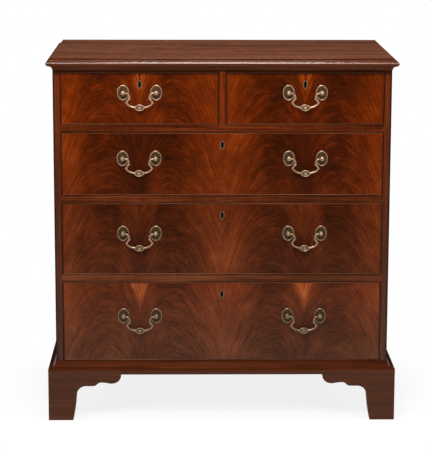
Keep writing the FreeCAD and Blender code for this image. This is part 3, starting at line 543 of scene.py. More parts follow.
# %% [markdown]
# The drawers are oak, which wears well where they slide. The grain runs front to back in a drawer's
# sides and across in its back and bottom. The case's dustboards, bottom and back are pine: paler,
# with broad bands. The back is a row of four upright boards.

# %% Oak and pine
OAK_TONES = tones((84, 55, 34), (128, 91, 60), (160, 122, 84))
PINE_TONES = tones((94, 58, 36), (142, 99, 66), (174, 132, 92))
DRAWER_BACK_T = mm(9)
DRAWER_BACK_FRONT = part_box("upper_long_box")[1].y - DRAWER_BACK_T
BACK_BOARDS = 4
BACK_LEFT, BACK_RIGHT = (corner.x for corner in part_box("back_boards"))
BACK_BOARD_W = (BACK_RIGHT - BACK_LEFT) / BACK_BOARDS

oak_side = bare_wood("oak_front_to_back", "y", OAK_TONES, 26, 0.6, (0.2, 0.5, 0.1), DRAWER_BACK_FRONT)
oak_across = bare_wood("oak_across", "x", OAK_TONES, 22, 0.6, (0.6, 0.1, 0.7))
pine_wood = bare_wood("pine_across", "x", PINE_TONES, 16, 0.2, (0.4, 0.8, 0.3))
pine_upright = bare_wood("pine_upright", "z", PINE_TONES, 16, 0.2, (0.9, 0.3, 0.6),
                         boards=(BACK_LEFT, BACK_BOARD_W))
print("back:", BACK_BOARDS, "boards, each", round(BACK_BOARD_W, 3), "m wide")

# %% [markdown]
# Feet and beads are kicked and rubbed, so they have lost most of their polish. A bead's uprights are
# painted darker than its lengths, as shade where the light from above falls less, and its outer face,
# in the gap between drawer and case, is painted nearly black as the gap's shade.
# With these every wood is ready, and the solids that keep their shape can wear theirs.

# %% Mahogany of the feet and beads
FOOT_TONES = tones((58, 29, 16), (71, 38, 22), (83, 46, 28))

foot_wood = mahogany("foot_mahogany", "x", FOOT_TONES, (0.7, 0.2, 0.9), coat=0.1)
foot_side_wood = mahogany("foot_side_mahogany", "y", FOOT_TONES, (0.1, 0.6, 0.4), coat=0.1)
# the beads' lengths: painted shadow under the top, and darker, greyer painted shade and sheen lower down
bead_wood = mahogany("cockbead_mahogany", "x", tones((78, 38, 18), (112, 62, 34), (140, 86, 54)),
                     (0.3, 0.3, 0.8), low_shade_tones=tones((56, 29, 17), (84, 48, 32), (110, 70, 50)),
                     coat=0.05, gleam=0.1, shade_mask=shadow_under_top)
# the uprights: the same wood painted darker, as shade where the light from above falls less
shaded_upright_bead_wood = mahogany("shaded_upright_bead_mahogany", "z",
                             tones((42, 18, 8), (64, 30, 14), (86, 46, 24)), (0.7, 0.1, 0.4),
                             coat=0.05, gleam=0.1)
# painted shade: the bead's outer face in the gap is painted nearly black
gap_shade_wood = mahogany("gap_shade_mahogany", "x", tones((16, 8, 4), (26, 13, 7), (38, 20, 11)),
                    (0.5, 0.9, 0.1), coat=0.0)

wear(["left_side", "right_side"], side_wood)
wear(["short_drawer_divider"], divider_wood)
wear(["drawer_rails", "top_rails"], rail_wood)
wear([drawer + "_box" for drawer in DRAWERS], oak_side)
wear([drawer + "_bottom" for drawer in DRAWERS] + ["drawer_stops"], oak_across)
wear(["dustboards", "bottom_board", "drawer_runners"], pine_wood)
wear(["back_boards"], pine_upright)
print("woods:", len(bpy.data.materials), "finishes")

# %% [markdown]
# The handles were cast in brass, filed bright and lacquered, and then handled for generations. High
# places are rubbed bright; low places, close to the drawer front, hold dark wax and tarnish. So the
# recipe asks how far out from the front a point stands, and adds a blotchy noise. Brass is darker
# towards the floor. Hollows, the roses' fields and the key plates have duller brass of their own,
# the key plates' sunk fields painted nearly black as the keyhole's shade, and the bolts are oiled iron.

# %% Brass and iron
# brass is darker towards the floor, between these heights in metres
DARKEN_LOW, DARKEN_HIGH = 0.2, 0.95
LOW_DARKENING = (0.45, 0.47, 0.46, 1.0)
HALF_RUBBED = tone(150, 118, 84)
BLOTCHES, SCRATCHES, RUST = (260,) * 3, (1400,) * 3, (180,) * 3     # waves per metre


def worn_brass(name, bright, dull, low_out, high_out, roughness):
    """Brass that is dull at low_out from the drawer front and rubbed bright at high_out, in mm."""
    f = Finish(name)
    here = f.here()
    blotch = f.noise(f.place((0.2, 0.4, 0.1), BLOTCHES), 1.0, 4.0, 0.6)
    fine = f.noise(f.place((0.7, 0.1, 0.5), SCRATCHES), 1.0, 3.0, 0.6)
    rubbed = f.span(f.less(FRONT_Y, here["Y"]), mm(low_out), mm(high_out), smooth=True)
    rubbed = f.add(rubbed, f.swing(blotch, 0.9))
    colour = f.ramp(rubbed, (dull, HALF_RUBBED, bright))
    colour = f.mix(f.span(here["Z"], DARKEN_LOW, DARKEN_HIGH, 1.0, 0.0), colour, LOW_DARKENING, "MULTIPLY")
    gloss = f.add(f.span(rubbed, 0.0, 1.0, roughness + 0.22, roughness), f.swing(fine, 0.12))
    bump = f.node("Bump", {"Height": fine, "Strength": 0.12, "Distance": mm(0.2)})
    return f.finish(f.node("BsdfPrincipled", {
        "Base Color": colour, "Metallic": f.span(rubbed, 0.0, 0.6, 0.5, 0.82), "Roughness": gloss,
        "Normal": bump}))


def oiled_iron():
    f = Finish("oiled_iron")
    blotch = f.noise(f.place(scale=RUST), 1.0, 5.0, 0.6)
    colour = f.ramp(blotch, tones((58, 52, 48), (92, 86, 80), (96, 66, 46)), (0.3, 0.55, 0.75))
    bump = f.node("Bump", {"Height": blotch, "Strength": 0.2, "Distance": mm(0.2)})
    return f.finish(f.node("BsdfPrincipled", {"Base Color": colour, "Metallic": 0.9, "Normal": bump,
                                              "Roughness": f.span(blotch, 0.3, 0.7, 0.35, 0.6)}))


handle_brass = worn_brass("handle_brass", tone(232, 194, 158), tone(60, 44, 26), 0.4, 2.0, 0.30)
hollow_brass = worn_brass("hollow_brass", tone(150, 124, 88), tone(58, 46, 28), 0.0, 24.0, 0.42)
field_brass = worn_brass("field_brass", tone(200, 168, 128), tone(84, 68, 42), 0.3, 3.2, 0.36)
lock_brass = worn_brass("lock_brass", tone(212, 174, 126), tone(90, 68, 40), -3.0, 0.2, 0.34)
# painted shade: the key plate's sunk field is near black, as the keyhole's shade
keyhole_shade_brass = worn_brass("keyhole_shade_brass", tone(78, 60, 40), tone(36, 26, 17), 0.0, 24.0, 0.5)
wear([drawer + "_bolt" for drawer in DRAWERS], oiled_iron())
print("metals ready")

# %% [markdown]
# Pieces made here start as a bmesh: Blender's own mesh tools, called one after another. One helper
# ends each piece the same way: normals outward, smooth where the surface is round and sharp at
# arrises, and tied to the body that carries it, so that it moves with its drawer. Another copies what
# repeats, such as a rose, which is made once about the origin and copied to its places.

# %% Ending a piece
ARRIS_ANGLE = math.radians(38)


def new_piece(name, bm, body, slot, materials, *stands_for):
    bmesh.ops.recalc_face_normals(bm, faces=bm.faces)
    mesh = bpy.data.meshes.new(name)
    bm.to_mesh(mesh)
    bm.free()
    for polygon in mesh.polygons:
        polygon.use_smooth = True
    mesh.set_sharp_from_angle(angle=ARRIS_ANGLE)
    for material in materials:
        mesh.materials.append(material)
    piece = into_scene(name, mesh)
    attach(piece, body)
    if stands_for:
        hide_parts(*stands_for)
    print(name, len(mesh.polygons), "faces on", body)


def copy_into(bm, one, place=None):
    """Adds a copy of one bmesh to another; place is the matrix that puts it there.

    bm holds nothing but such copies: after a merge, new points wouldn't come last.
    """
    start = len(bm.verts)
    mesh = bpy.data.meshes.new("copy")
    one.to_mesh(mesh)
    bm.from_mesh(mesh)
    bpy.data.meshes.remove(mesh)
    bm.verts.ensure_lookup_table()
    if place:
        bmesh.ops.transform(bm, matrix=place, verts=bm.verts[start:])


print("arrises sharper than", round(math.degrees(ARRIS_ANGLE)), "degrees stay sharp")

# %% [markdown]
# Most pieces are a plain block with its arrises taken off, or an outline that is run along something
# or given a thickness. So a few helpers are enough. They start from a cube or a chain of edges, and
# bevel and extrude it.

# %% Blocks, outlines and boards
def made(found, kind):
    """The vertices, edges or faces among the things that a mesh tool has just made."""
    return [g for g in found if isinstance(g, kind)]


def edges_of(verts):
    return list({edge for vert in verts for edge in vert.link_edges})


def block(bm, low, high, arris=0.0):
    """A plain board or block between two corners, with its arrises taken off."""
    size = Vector(high) - Vector(low)
    place = Matrix.Translation((Vector(high) + Vector(low)) / 2) @ Matrix.Diagonal((*size, 1))
    verts = bmesh.ops.create_cube(bm, size=1.0, matrix=place)["verts"]
    if arris:
        bmesh.ops.bevel(bm, geom=edges_of(verts), offset=arris, offset_type="OFFSET", segments=2,
                        profile=0.5, affect="EDGES", material=-1)


def outline(bm, points, place, closed=True):
    """Joins points into a chain of edges; place turns each (a, b) into a point in space."""
    verts = [bm.verts.new(place(a, b)) for a, b in points]
    pairs = list(zip(verts, verts[1:])) + ([(verts[-1], verts[0])] if closed else [])
    return [bm.edges.new(pair) for pair in pairs]


def run_on(bm, edges):
    """Extrudes a chain of edges, and returns its new edges, vertices and faces."""
    found = bmesh.ops.extrude_edge_only(bm, edges=edges)["geom"]
    return [made(found, kind) for kind in (bmesh.types.BMEdge, bmesh.types.BMVert, bmesh.types.BMFace)]


def thicken(bm, faces, thick):
    """Extrudes flat faces into a board; thick is a vector."""
    found = bmesh.ops.extrude_face_region(bm, geom=faces)["geom"]
    bmesh.ops.translate(bm, verts=made(found, bmesh.types.BMVert), vec=thick)


def sawn(bm, points, place, thick):
    """A board sawn to an outline; place says where, and thick which way and how far it goes on."""
    thicken(bm, bmesh.ops.contextual_create(bm, geom=outline(bm, points, place))["faces"], thick)


sample = bmesh.new()
block(sample, (0, 0, 0), mm(40, 20, 10), mm(1))
print("a block with its arrises taken off has", len(sample.faces), "faces")
sample.free()

# %% [markdown]
# A moulding is one outline run along an edge. Its rounds and hollows are quarter circles, as a
# moulding plane cuts them: each starts at one point, ends at another and turns about a centre level
# with one of them. Outlines are written as (p, z): p out from the case, z up.

# %% Outlines of mouldings
ROUND_STEPS = 8


def quarter(a, b, centre, steps=ROUND_STEPS):
    """Points after a, as far as b, of a quarter round or hollow about its centre."""
    found = []
    for k in range(1, steps + 1):
        turn = math.pi / 2 * k / steps
        found.append(tuple(c + (p - c) * math.cos(turn) + (q - c) * math.sin(turn)
                           for p, q, c in zip(a, b, centre)))
    return found


# the edge of the top: a bevel below, a bead, a hollow, a quirk and a small arris
BEAD_TOP = 11.8
TOP_EDGE = ([(13.0, 0.0), (17.5, 5.4), (18.0, 7.0)]
            + quarter((18.0, 7.0), (13.2, BEAD_TOP), (13.2, 7.0))
            + quarter((13.2, BEAD_TOP), (6.5, 17.6), (13.2, 17.6))
            + [(5.5, 17.6), (5.5, 20.5), (5.0, 21.0)])
# the small hollow under the top
NECK_H = 10.2
NECK = ([(0.0, NECK_H), (8.0, NECK_H), (8.0, 8.4), (6.8, 8.4)]
        + quarter((6.8, 8.4), (1.2, 0.0), (6.8, 0.0)) + [(0.0, 0.0)])
# the hollow that carries the case out to the feet
BASE = ([(0.0, BASE_H), (1.5, BASE_H)] + quarter((1.5, BASE_H), (21.5, 2.0), (21.5, BASE_H), 12)
        + [(21.5, 0.4), (21.1, 0.0), (0.0, 0.0)])
print("points in the outlines:", len(TOP_EDGE), len(NECK), len(BASE))

# %% [markdown]
# On the bench the three lengths are cut from one strip and mitred at the corners. Here the outline
# stands at the back of the left side and is extruded three times. After each extrusion its new end is
# moved to the next mitre, where every point stands as far out from the side as from the front. Under
# the base moulding runs a plain band, between the feet and in their finish.

# %% Mouldings
BAND_H, BAND_BACK, BAND_ARRIS, FOOT_T, FOOT_LEN = mm(12.6), mm(1), mm(0.4), mm(21.5), mm(200)


def run_round(bm, edges):
    """Extrudes an outline along the left side, the front and the right side of the case."""
    for run in ("left", "front", "right"):
        edges, verts, faces = run_on(bm, edges)
        for vert in verts:
            if run == "left":
                vert.co.y = FRONT_Y + vert.co.x + CASE_HALF
            elif run == "front":
                vert.co.x = -vert.co.x
            else:
                vert.co.y = BACK_Y


def at_back(level):
    """Places (p, z) of an outline at the back of the left side, above a level."""
    return lambda p, z: (-CASE_HALF - mm(p), BACK_Y, level + mm(z))


def side_grain(bm):
    """Faces of the two side lengths take the second finish, whose grain runs front to back."""
    for face in bm.faces:
        centre = face.calc_center_median()
        if abs(centre.x) - CASE_HALF > FRONT_Y - centre.y:
            face.material_index = 1


def bands(bm):
    """The plain band under the base moulding, between the feet, in the feet's two finishes."""
    low, high = BASE_LOW - BAND_H, BASE_LOW
    start = len(bm.faces)
    front_x = OUT_X - FOOT_LEN
    block(bm, (-front_x, OUT_Y + BAND_BACK, low), (front_x, OUT_Y + FOOT_T, high), BAND_ARRIS)
    front_end = len(bm.faces)
    for side in (-1, 1):
        x0, x1 = sorted((side * (OUT_X - FOOT_T), side * (OUT_X - BAND_BACK)))
        block(bm, (x0, OUT_Y + FOOT_LEN, low), (x1, BACK_Y - FOOT_LEN, high), BAND_ARRIS)
    bm.faces.ensure_lookup_table()
    for k, face in enumerate(bm.faces[start:], start):
        face.material_index = 2 if k < front_end else 3


def make_moulding(name, points, level, finishes, extra=None):
    bm = bmesh.new()
    run_round(bm, outline(bm, points, at_back(level)))
    bmesh.ops.holes_fill(bm, edges=[edge for edge in bm.edges if edge.is_boundary])
    side_grain(bm)
    if extra:
        extra(bm)
    new_piece(name + "_run", bm, "carcass", "moulding_mahogany", finishes, name)


make_moulding("top_moulding", NECK, CASE_TOP - mm(NECK_H), [dull_edge_wood, edge_side_wood])
make_moulding("base_moulding", BASE, BASE_LOW, [base_wood, base_side_wood, foot_wood, foot_side_wood],
              bands)

# %% [markdown]
# The top is one wide board with the same kind of edge on three sides and a plain back. The outline is
# run round as before, but open, and the broad faces close it. The flat is worn and pale. The bead at
# the front has kept its thick polish, and the faces above and below it are dull.

# %% Top board
FLAT_NORMAL, UNDER_NORMAL = 0.999, -0.05      # a face's normal along z: quite flat, or looking down


def make_top():
    bm = bmesh.new()
    run_round(bm, outline(bm, TOP_EDGE, at_back(CASE_TOP), closed=False))
    for level in (CASE_TOP, TOP_Z):
        corners = [vert for vert in bm.verts if abs(vert.co.z - level) < mm(0.01)]
        bmesh.ops.contextual_create(bm, geom=corners)
    bmesh.ops.holes_fill(bm, edges=[edge for edge in bm.edges if edge.is_boundary])
    side_grain(bm)
    bmesh.ops.recalc_face_normals(bm, faces=bm.faces)
    for face in bm.faces:
        height = face.calc_center_median().z
        if face.normal.z > FLAT_NORMAL and height > TOP_Z - mm(0.1):
            face.material_index = 2
        elif face.normal.z < UNDER_NORMAL or height > CASE_TOP + mm(BEAD_TOP):
            face.material_index = 3
    new_piece("top_board_run", bm, "carcass", "top_mahogany",
              [edge_wood, edge_side_wood, top_wood, dull_edge_wood], "top_board")


make_top()

# %% [markdown]
# A bracket foot is two boards sawn to a scroll and mitred at the corner, with a block glued in the
# angle behind that does the carrying. Each scroll is drawn with a few arcs, and each arc goes through
# three points, as a maker bends a thin lath over three pins.

# %% Scroll of the feet
FOOT_H = 142.0


def arc(a, via, b, steps=6):
    """Points after a, as far as b, of the circle through a, via and b."""
    ax, ay, bx, by, cx, cy = *a, *via, *b
    d = 2 * (ax * (by - cy) + bx * (cy - ay) + cx * (ay - by))
    aa, bb, cc = ax * ax + ay * ay, bx * bx + by * by, cx * cx + cy * cy
    mx = (aa * (by - cy) + bb * (cy - ay) + cc * (ay - by)) / d
    my = (aa * (cx - bx) + bb * (ax - cx) + cc * (bx - ax)) / d
    start = math.atan2(ay - my, ax - mx)
    turn = (math.atan2(cy - my, cx - mx) - start + math.pi) % (2 * math.pi) - math.pi
    r = math.hypot(ax - mx, ay - my)
    return [(mx + r * math.cos(start + turn * k / steps), my + r * math.sin(start + turn * k / steps))
            for k in range(1, steps + 1)]


def scroll():
    """Outline of a bracket as (u, z), u from the outer corner of the foot."""
    points = [(0.0, 0.0), (67.5, 0.0)]
    for via, end in (((74.0, 34.0), (78.0, 74.0)), ((85.0, 89.5), (105.0, 97.0)),
                     ((114.0, 97.0), (121.0, 97.2)), ((129.5, 98.6), (134.5, 102.8)),
                     ((139.5, 106.0), (148.0, 107.0)), ((156.5, 106.4), (166.0, 104.8)),
                     ((175.0, 104.0), (184.0, 105.6)), ((196.0, 114.5), (200.0, 129.4))):
        points += arc(points[-1], via, end)
    return points + [(200.0, FOOT_H), (0.0, FOOT_H)]


SCROLL = scroll()
print("points in the scroll:", len(SCROLL))

# %% [markdown]
# Each foot is made as a right foot. Its boards are sawn to the scroll and given their thickness, and
# bisect_plane makes the mitre as a saw would. A rear foot has one such board and a plain sloping brace
# across the back. The brace, the block and the two bearers along the case are pine. A left foot is
# the same, mirrored.

# %% Feet
BLOCK_W, BLOCK_LIFT, BEARER_L, BEARER_H, BLOCK_ARRIS = mm(32), mm(3), mm(90), mm(24), mm(0.8)
REAR_T = mm(15)
REAR_BRACE = [(0.0, 0.0), (50.6, 0.0), (56.6, 40.0), (150.0, 108.0), (150.0, 145.0), (0.0, 145.0)]
FOOT_IN = OUT_X - FOOT_T            # the inner face of the side board


def bracket(foot, place, thick, finish, waste=None):
    """Adds a bracket board; waste points to the part that the mitre takes off."""
    board = bmesh.new()
    sawn(board, SCROLL, place, thick)
    if waste:
        corner = Vector((OUT_X, OUT_Y, 0))
        cut = bmesh.ops.bisect_plane(board, geom=[*board.verts, *board.edges, *board.faces], dist=mm(0.001),
                                     plane_co=corner, plane_no=waste, clear_outer=True)["geom_cut"]
        bmesh.ops.holes_fill(board, edges=made(cut, bmesh.types.BMEdge))
    for face in board.faces:
        face.material_index = finish
    copy_into(foot, board)
    board.free()


def glue_blocks(bm, corner_y, step):
    """The carrying block in the corner and the two bearers along the case."""
    x_block = FOOT_IN - BLOCK_W
    bearer_low = CASE_LOW - BEARER_H
    far = corner_y + step * BLOCK_W
    y0, y1 = sorted((corner_y, far))
    block(bm, (x_block, y0, BLOCK_LIFT), (FOOT_IN, y1, CASE_LOW), BLOCK_ARRIS)
    block(bm, (x_block - BEARER_L, y0, bearer_low), (x_block, y1, CASE_LOW), BLOCK_ARRIS)
    y0, y1 = sorted((far, far + step * BEARER_L))
    block(bm, (x_block, y0, bearer_low), (FOOT_IN, y1, CASE_LOW), BLOCK_ARRIS)


def make_foot(name, side, front):
    foot = bmesh.new()
    if front:
        bracket(foot, lambda u, z: (OUT_X - mm(u), OUT_Y, mm(z)), (0, FOOT_T, 0), 0, (1, 1, 0))
        bracket(foot, lambda u, z: (OUT_X, OUT_Y + mm(u), mm(z)), (-FOOT_T, 0, 0), 1, (-1, -1, 0))
    else:
        bracket(foot, lambda u, z: (OUT_X, BACK_Y - mm(u), mm(z)), (-FOOT_T, 0, 0), 1)
    seen = len(foot.faces)
    if front:
        glue_blocks(foot, OUT_Y + FOOT_T, 1)
    else:
        sawn(foot, REAR_BRACE, lambda u, z: (FOOT_IN - mm(u), BACK_Y - REAR_T, mm(z)), (0, REAR_T, 0))
        glue_blocks(foot, BACK_Y - REAR_T, -1)
    foot.faces.ensure_lookup_table()
    for face in foot.faces[seen:]:
        face.material_index = 2
    if side < 0:
        bmesh.ops.scale(foot, verts=foot.verts, vec=(-1, 1, 1))
    new_piece(name + "_boards", foot, "carcass", "moulding_mahogany",
              [foot_wood, foot_side_wood, pine_wood], name)


for side, hand in ((-1, "left"), (1, "right")):
    make_foot("front_" + hand + "_foot", side, True)
    make_foot("rear_" + hand + "_foot", side, False)

# %% [markdown]
# A cockbead is a thin strip let into the edge of each drawer front, whose rounded nose stands two
# millimetres proud. It hides the edge of the veneer and takes the knocks. The same trick as for the
# mouldings makes it, round a closed frame: the outline starts at one mitre, and after each extrusion
# its end is flipped to the next one, until the last end meets the first and they are merged.

# %% Cockbeads
BEAD_T, BEAD_IN, BEAD_PROUD = 3.2, 8.0, 2.0
BEAD_NOSE = BEAD_T / 2
BEAD_FLAT = BEAD_PROUD - BEAD_NOSE
BEAD_OUT = 0.5              # the strip is planed this much back from the opening
NOSE_STEPS = 5
BEAD = ([(BEAD_OUT, -BEAD_IN), (BEAD_OUT, BEAD_FLAT)]
        + quarter((BEAD_OUT, BEAD_FLAT), (BEAD_NOSE, BEAD_PROUD), (BEAD_NOSE, BEAD_FLAT), NOSE_STEPS)
        + quarter((BEAD_NOSE, BEAD_PROUD), (BEAD_T, BEAD_FLAT), (BEAD_NOSE, BEAD_FLAT), NOSE_STEPS)
        + [(BEAD_T, -BEAD_IN)])


def make_cockbead(drawer):
    low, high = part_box(drawer + "_cockbead")
    bm = bmesh.new()
    edges = outline(bm, BEAD, lambda a, out: (low.x + mm(a), FRONT_Y - mm(out), low.z + mm(a)))
    for axis in ("x", "z", "x", "z"):
        edges, verts, faces = run_on(bm, edges)
        middle = (getattr(low, axis) + getattr(high, axis)) / 2
        for vert in verts:
            setattr(vert.co, axis, 2 * middle - getattr(vert.co, axis))
    bmesh.ops.remove_doubles(bm, verts=bm.verts, dist=mm(0.01))
    bmesh.ops.recalc_face_normals(bm, faces=bm.faces)
    centre = (low + high) / 2
    for face in bm.faces:
        middle = face.calc_center_median()
        # the outer face in the gap takes painted shade, and the uprights the darker painted-shade finish
        if abs(face.normal.y) < 0.1 and face.normal.dot(middle - centre) > 0:
            face.material_index = 1
        elif min(middle.x - low.x, high.x - middle.x) < mm(BEAD_T):
            face.material_index = 2
    new_piece(drawer + "_cockbead_frame", bm, body_of[drawer + "_cockbead"], "cockbead_mahogany",
              [bead_wood, gap_shade_wood, shaded_upright_bead_wood], drawer + "_cockbead")


for drawer in DRAWERS:
    make_cockbead(drawer)

# %% [markdown]
# Each handle hangs between two turned posts, and each post goes through a pierced oval rose. A rose
# is cast flat, then filed: a raised bright rim, a thin field with radial slots, and a solid hub. It
# is built as rings: a circle is extruded and scaled outward step by step, the slots' faces are
# deleted, and solidify gives the rest its thickness. Scaling it in height makes the circle an oval.

# %% Roses
ROSE_R, ROSE_HALF_H, ROSE_HOLE_R, HUB_R = 16.0, 21.0, 2.4, 4.0
ROSE_SLOTS = 12
ROSE_SECTORS = ROSE_SLOTS * 4
RIM_R, RIM_SECTORS = 1.2, 10
RIM_AT = ROSE_R - RIM_R
FIELD_T = 1.3
SLOT_IN, SLOT_MIDDLE, SLOT_OUT = 5.6, 9.4, 12.8


def spin_round(bm, geom, steps):
    """A full turn about the Y axis."""
    bmesh.ops.spin(bm, geom=geom, cent=(0, 0, 0), axis=(0, 1, 0), angle=2 * math.pi, steps=steps,
                   use_merge=True)


def one_rose():
    """A rose about the origin, its back on the plane y = 0."""
    bm = bmesh.new()
    turn = Matrix.Rotation(math.pi / 2, 4, "X") @ Matrix.Rotation(math.pi / ROSE_SECTORS, 4, "Z")
    ring = bmesh.ops.create_circle(bm, segments=ROSE_SECTORS, radius=mm(ROSE_HOLE_R), matrix=turn)["verts"]
    edges = edges_of(ring)
    radius = ROSE_HOLE_R
    rings = []
    for reach in (HUB_R, SLOT_IN, SLOT_MIDDLE, SLOT_OUT, RIM_AT):
        edges, verts, faces = run_on(bm, edges)
        bmesh.ops.scale(bm, verts=verts, vec=(reach / radius, 1, reach / radius))
        if reach in (SLOT_MIDDLE, SLOT_OUT):
            rings += faces
        radius = reach
    slots = []
    for face in rings:
        centre = face.calc_center_median()
        sector = math.atan2(centre.z, centre.x) / (2 * math.pi) * ROSE_SLOTS % 1.0
        if 0.25 < sector < 0.75:
            slots.append(face)
    bmesh.ops.delete(bm, geom=slots, context="FACES")
    bmesh.ops.recalc_face_normals(bm, faces=bm.faces)
    for face in bm.faces:
        face.material_index = 2
        if face.normal.y > 0:
            face.normal_flip()
    bmesh.ops.solidify(bm, geom=bm.faces[:], thickness=mm(FIELD_T))
    back = max(vert.co.y for vert in bm.verts)
    bmesh.ops.translate(bm, verts=bm.verts, vec=(0, -back, 0))
    section = Matrix.Translation(mm(RIM_AT, -RIM_R, 0))
    rim = bmesh.ops.create_circle(bm, segments=RIM_SECTORS, radius=mm(RIM_R), matrix=section)["verts"]
    spin_round(bm, rim + edges_of(rim), ROSE_SECTORS)
    bmesh.ops.scale(bm, verts=bm.verts, vec=(1, 1, ROSE_HALF_H / ROSE_R))
    return bm


print("a rose has", ROSE_SLOTS, "slots between", SLOT_IN, "and", SLOT_OUT, "mm")

# %% [markdown]
# The posts are turned and cast in one with their screws: a foot on the rose, a thin shank, and a
# knob with a rounded rim, a step and a small dimple. A square nut holds each inside the drawer.
# Every shape of this kind is a profile, spun once round by the lathe.

# %% Posts and nuts
SCREW = [(0.0, -26.0), (1.9, -26.0), (2.2, -25.6), (2.2, 1.2)]
POST = (SCREW + [(5.6, 1.2)] + quarter((5.6, 1.2), (4.6, 2.6), (4.6, 1.2), 4)
        + [(4.2, 3.4), (3.8, 4.4), (3.6, 5.4), (4.0, 6.6), (5.2, 7.6)]
        + quarter((5.2, 7.6), (6.0, 8.6), (5.2, 8.6), 3) + [(5.7, 12.0), (5.5, 14.6)]
        + quarter((5.3, 14.6), (3.6, 17.2), (3.6, 14.6), 5)
        + [(3.4, 17.4), (3.3, 18.6)] + quarter((3.3, 18.6), (2.4, 19.5), (2.4, 18.6), 3)
        + [(1.7, 19.5), (1.3, 18.6), (0.0, 18.3)])
POST_STEPS = 24
POST_HOLLOW = (3.0, 7.4)    # from here to here, out from the drawer, dark wax has gathered
POST_CENTRES = mm(89)
NUT_HALF, NUT_T, NUT_ARRIS = 5.0, 4.0, 0.5
FRONT_T = 20.0              # thickness of a drawer front
MERGE = mm(0.002)


def lathe(bm, profile, steps):
    """Turns a profile of (r, out) about the Y axis; both of its ends are on the axis."""
    edges = outline(bm, profile, lambda r, out: (mm(r), -mm(out), 0.0), closed=False)
    verts = list({vert for edge in edges for vert in edge.verts})
    spin_round(bm, verts + edges, steps)
    bmesh.ops.remove_doubles(bm, verts=bm.verts, dist=MERGE)


def posts_of(drawer):
    """Centres of a drawer's posts: four on a long drawer and two on a short one."""
    low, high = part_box(drawer + "_handle_posts")
    z = (low.z + high.z) / 2
    bails = [node for node in nodes if node.startswith(drawer) and node.endswith("_bail")]
    centres = [(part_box(bail)[0].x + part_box(bail)[1].x) / 2 for bail in bails]
    return [(x + side * POST_CENTRES / 2, z) for x in centres for side in (-1, 1)]


def wax_hollows(bm, reach, inward):
    """Gives faces whose middle lies between two distances the second, darker brass."""
    for face in bm.faces:
        centre = face.calc_center_median()
        far = math.hypot(centre.x, centre.z) if inward else -centre.y
        if mm(reach[0]) < far < mm(reach[1]):
            face.material_index = 1


def one_post():
    """A post and its nut about the origin."""
    bm = bmesh.new()
    lathe(bm, POST, POST_STEPS)
    wax_hollows(bm, POST_HOLLOW, False)
    block(bm, mm(-NUT_HALF, FRONT_T, -NUT_HALF), mm(NUT_HALF, FRONT_T + NUT_T, NUT_HALF), mm(NUT_ARRIS))
    return bm


ROSE, POST_AND_NUT = one_rose(), one_post()
for drawer in DRAWERS:
    bm = bmesh.new()
    for x, z in posts_of(drawer):
        for one in (ROSE, POST_AND_NUT):
            copy_into(bm, one, Matrix.Translation((x, FRONT_Y, z)))
    new_piece(drawer + "_posts_and_roses", bm, body_of[drawer + "_handle_posts"], "handle_brass",
              [handle_brass, hollow_brass, field_brass], drawer + "_handle_posts")

# %% [markdown]
# The bail is a swan's neck: from each post a neck curls out and down and ends in a small spur, and a
# limb springs from behind it, crosses it and sweeps to a dished boss that the fingers find. Necks
# and limbs are curves with a round section, thick in the middle of their length and fine at the
# tips. A curve is the quickest way to such a bar, because each of its points can be thicker or finer.

# %% Neck and limb of a bail
# both paths are (x, z, radius), x from the post's axis towards the middle of the handle
NECK_PATH = [(3.9, 0.0, 1.5), (6.6, 0.0, 1.6), (10.5, -0.6, 2.1), (15.2, -3.2, 2.2), (17.3, -8.0, 2.3),
             (16.4, -14.0, 2.2), (13.2, -19.4, 1.9), (10.0, -23.2, 1.5), (7.0, -27.0, 0.7)]
LIMB_PATH = [(20.0, -14.4, 0.7), (17.0, -17.2, 1.4), (12.6, -21.2, 2.0), (9.8, -25.4, 2.4),
             (12.0, -30.2, 2.6), (18.4, -34.8, 2.6), (26.0, -37.6, 2.5), (33.6, -39.1, 2.6)]


def tapered_bar(bm, path):
    """A round bar along a smooth curve, as thick at each of its points as the path says."""
    curve = bpy.data.curves.new("bar", "CURVE")
    curve.dimensions = "3D"
    curve.bevel_depth = mm(1)
    curve.bevel_resolution = 3
    curve.use_fill_caps = True
    spline = curve.splines.new("NURBS")
    spline.points.add(len(path) - 1)
    for point, (x, z, radius) in zip(spline.points, path):
        point.co = (*mm(x, 0.0, z), 1.0)
        point.radius = radius
    spline.order_u = 3
    spline.use_endpoint_u = True
    spline.resolution_u = 5
    holder = bpy.data.objects.new("bar", curve)
    mesh = bpy.data.meshes.new_from_object(holder)
    bm.from_mesh(mesh)
    bpy.data.objects.remove(holder)
    bpy.data.curves.remove(curve)
    bpy.data.meshes.remove(mesh)


print("points on the neck and the limb:", len(NECK_PATH), len(LIMB_PATH))

# %% [markdown]
# One half of a bail is made with the collar that meets its post, then copied and mirrored. The boss is
# turned on the lathe and flattened to an oval. The whole is copied to the hinge of each handle, whose
# place is written in the frame.

# %% Bails
COLLAR_AT, COLLAR_R, COLLAR_FLAT = 6.4, 2.5, 0.45
BOSS_HALF_W, BOSS_HALF_H, BAIL_DROP, BOSS_STEPS = 13.5, 8.8, 39.3, 40
BOSS = ([(0.0, -2.6), (11.2, -2.6)] + quarter((11.2, -2.6), (BOSS_HALF_W, 0.2), (11.2, 0.2), 4)
        + quarter((BOSS_HALF_W, 0.2), (11.9, 3.0), (11.9, 0.2), 4) + [(11.0, 3.0)]
        + quarter((11.0, 3.0), (9.4, 1.3), (11.0, 1.3), 3) + [(6.6, 1.3)]
        + quarter((6.6, 1.3), (5.6, 2.4), (5.6, 1.3), 3) + [(4.6, 2.4), (4.1, 1.8), (2.6, 1.9)]
        + quarter((2.6, 1.9), (0.0, 2.9), (0.0, 1.9), 4))
BOSS_HOLLOW = (5.6, 9.8)    # the ring of the boss between its rim and its middle


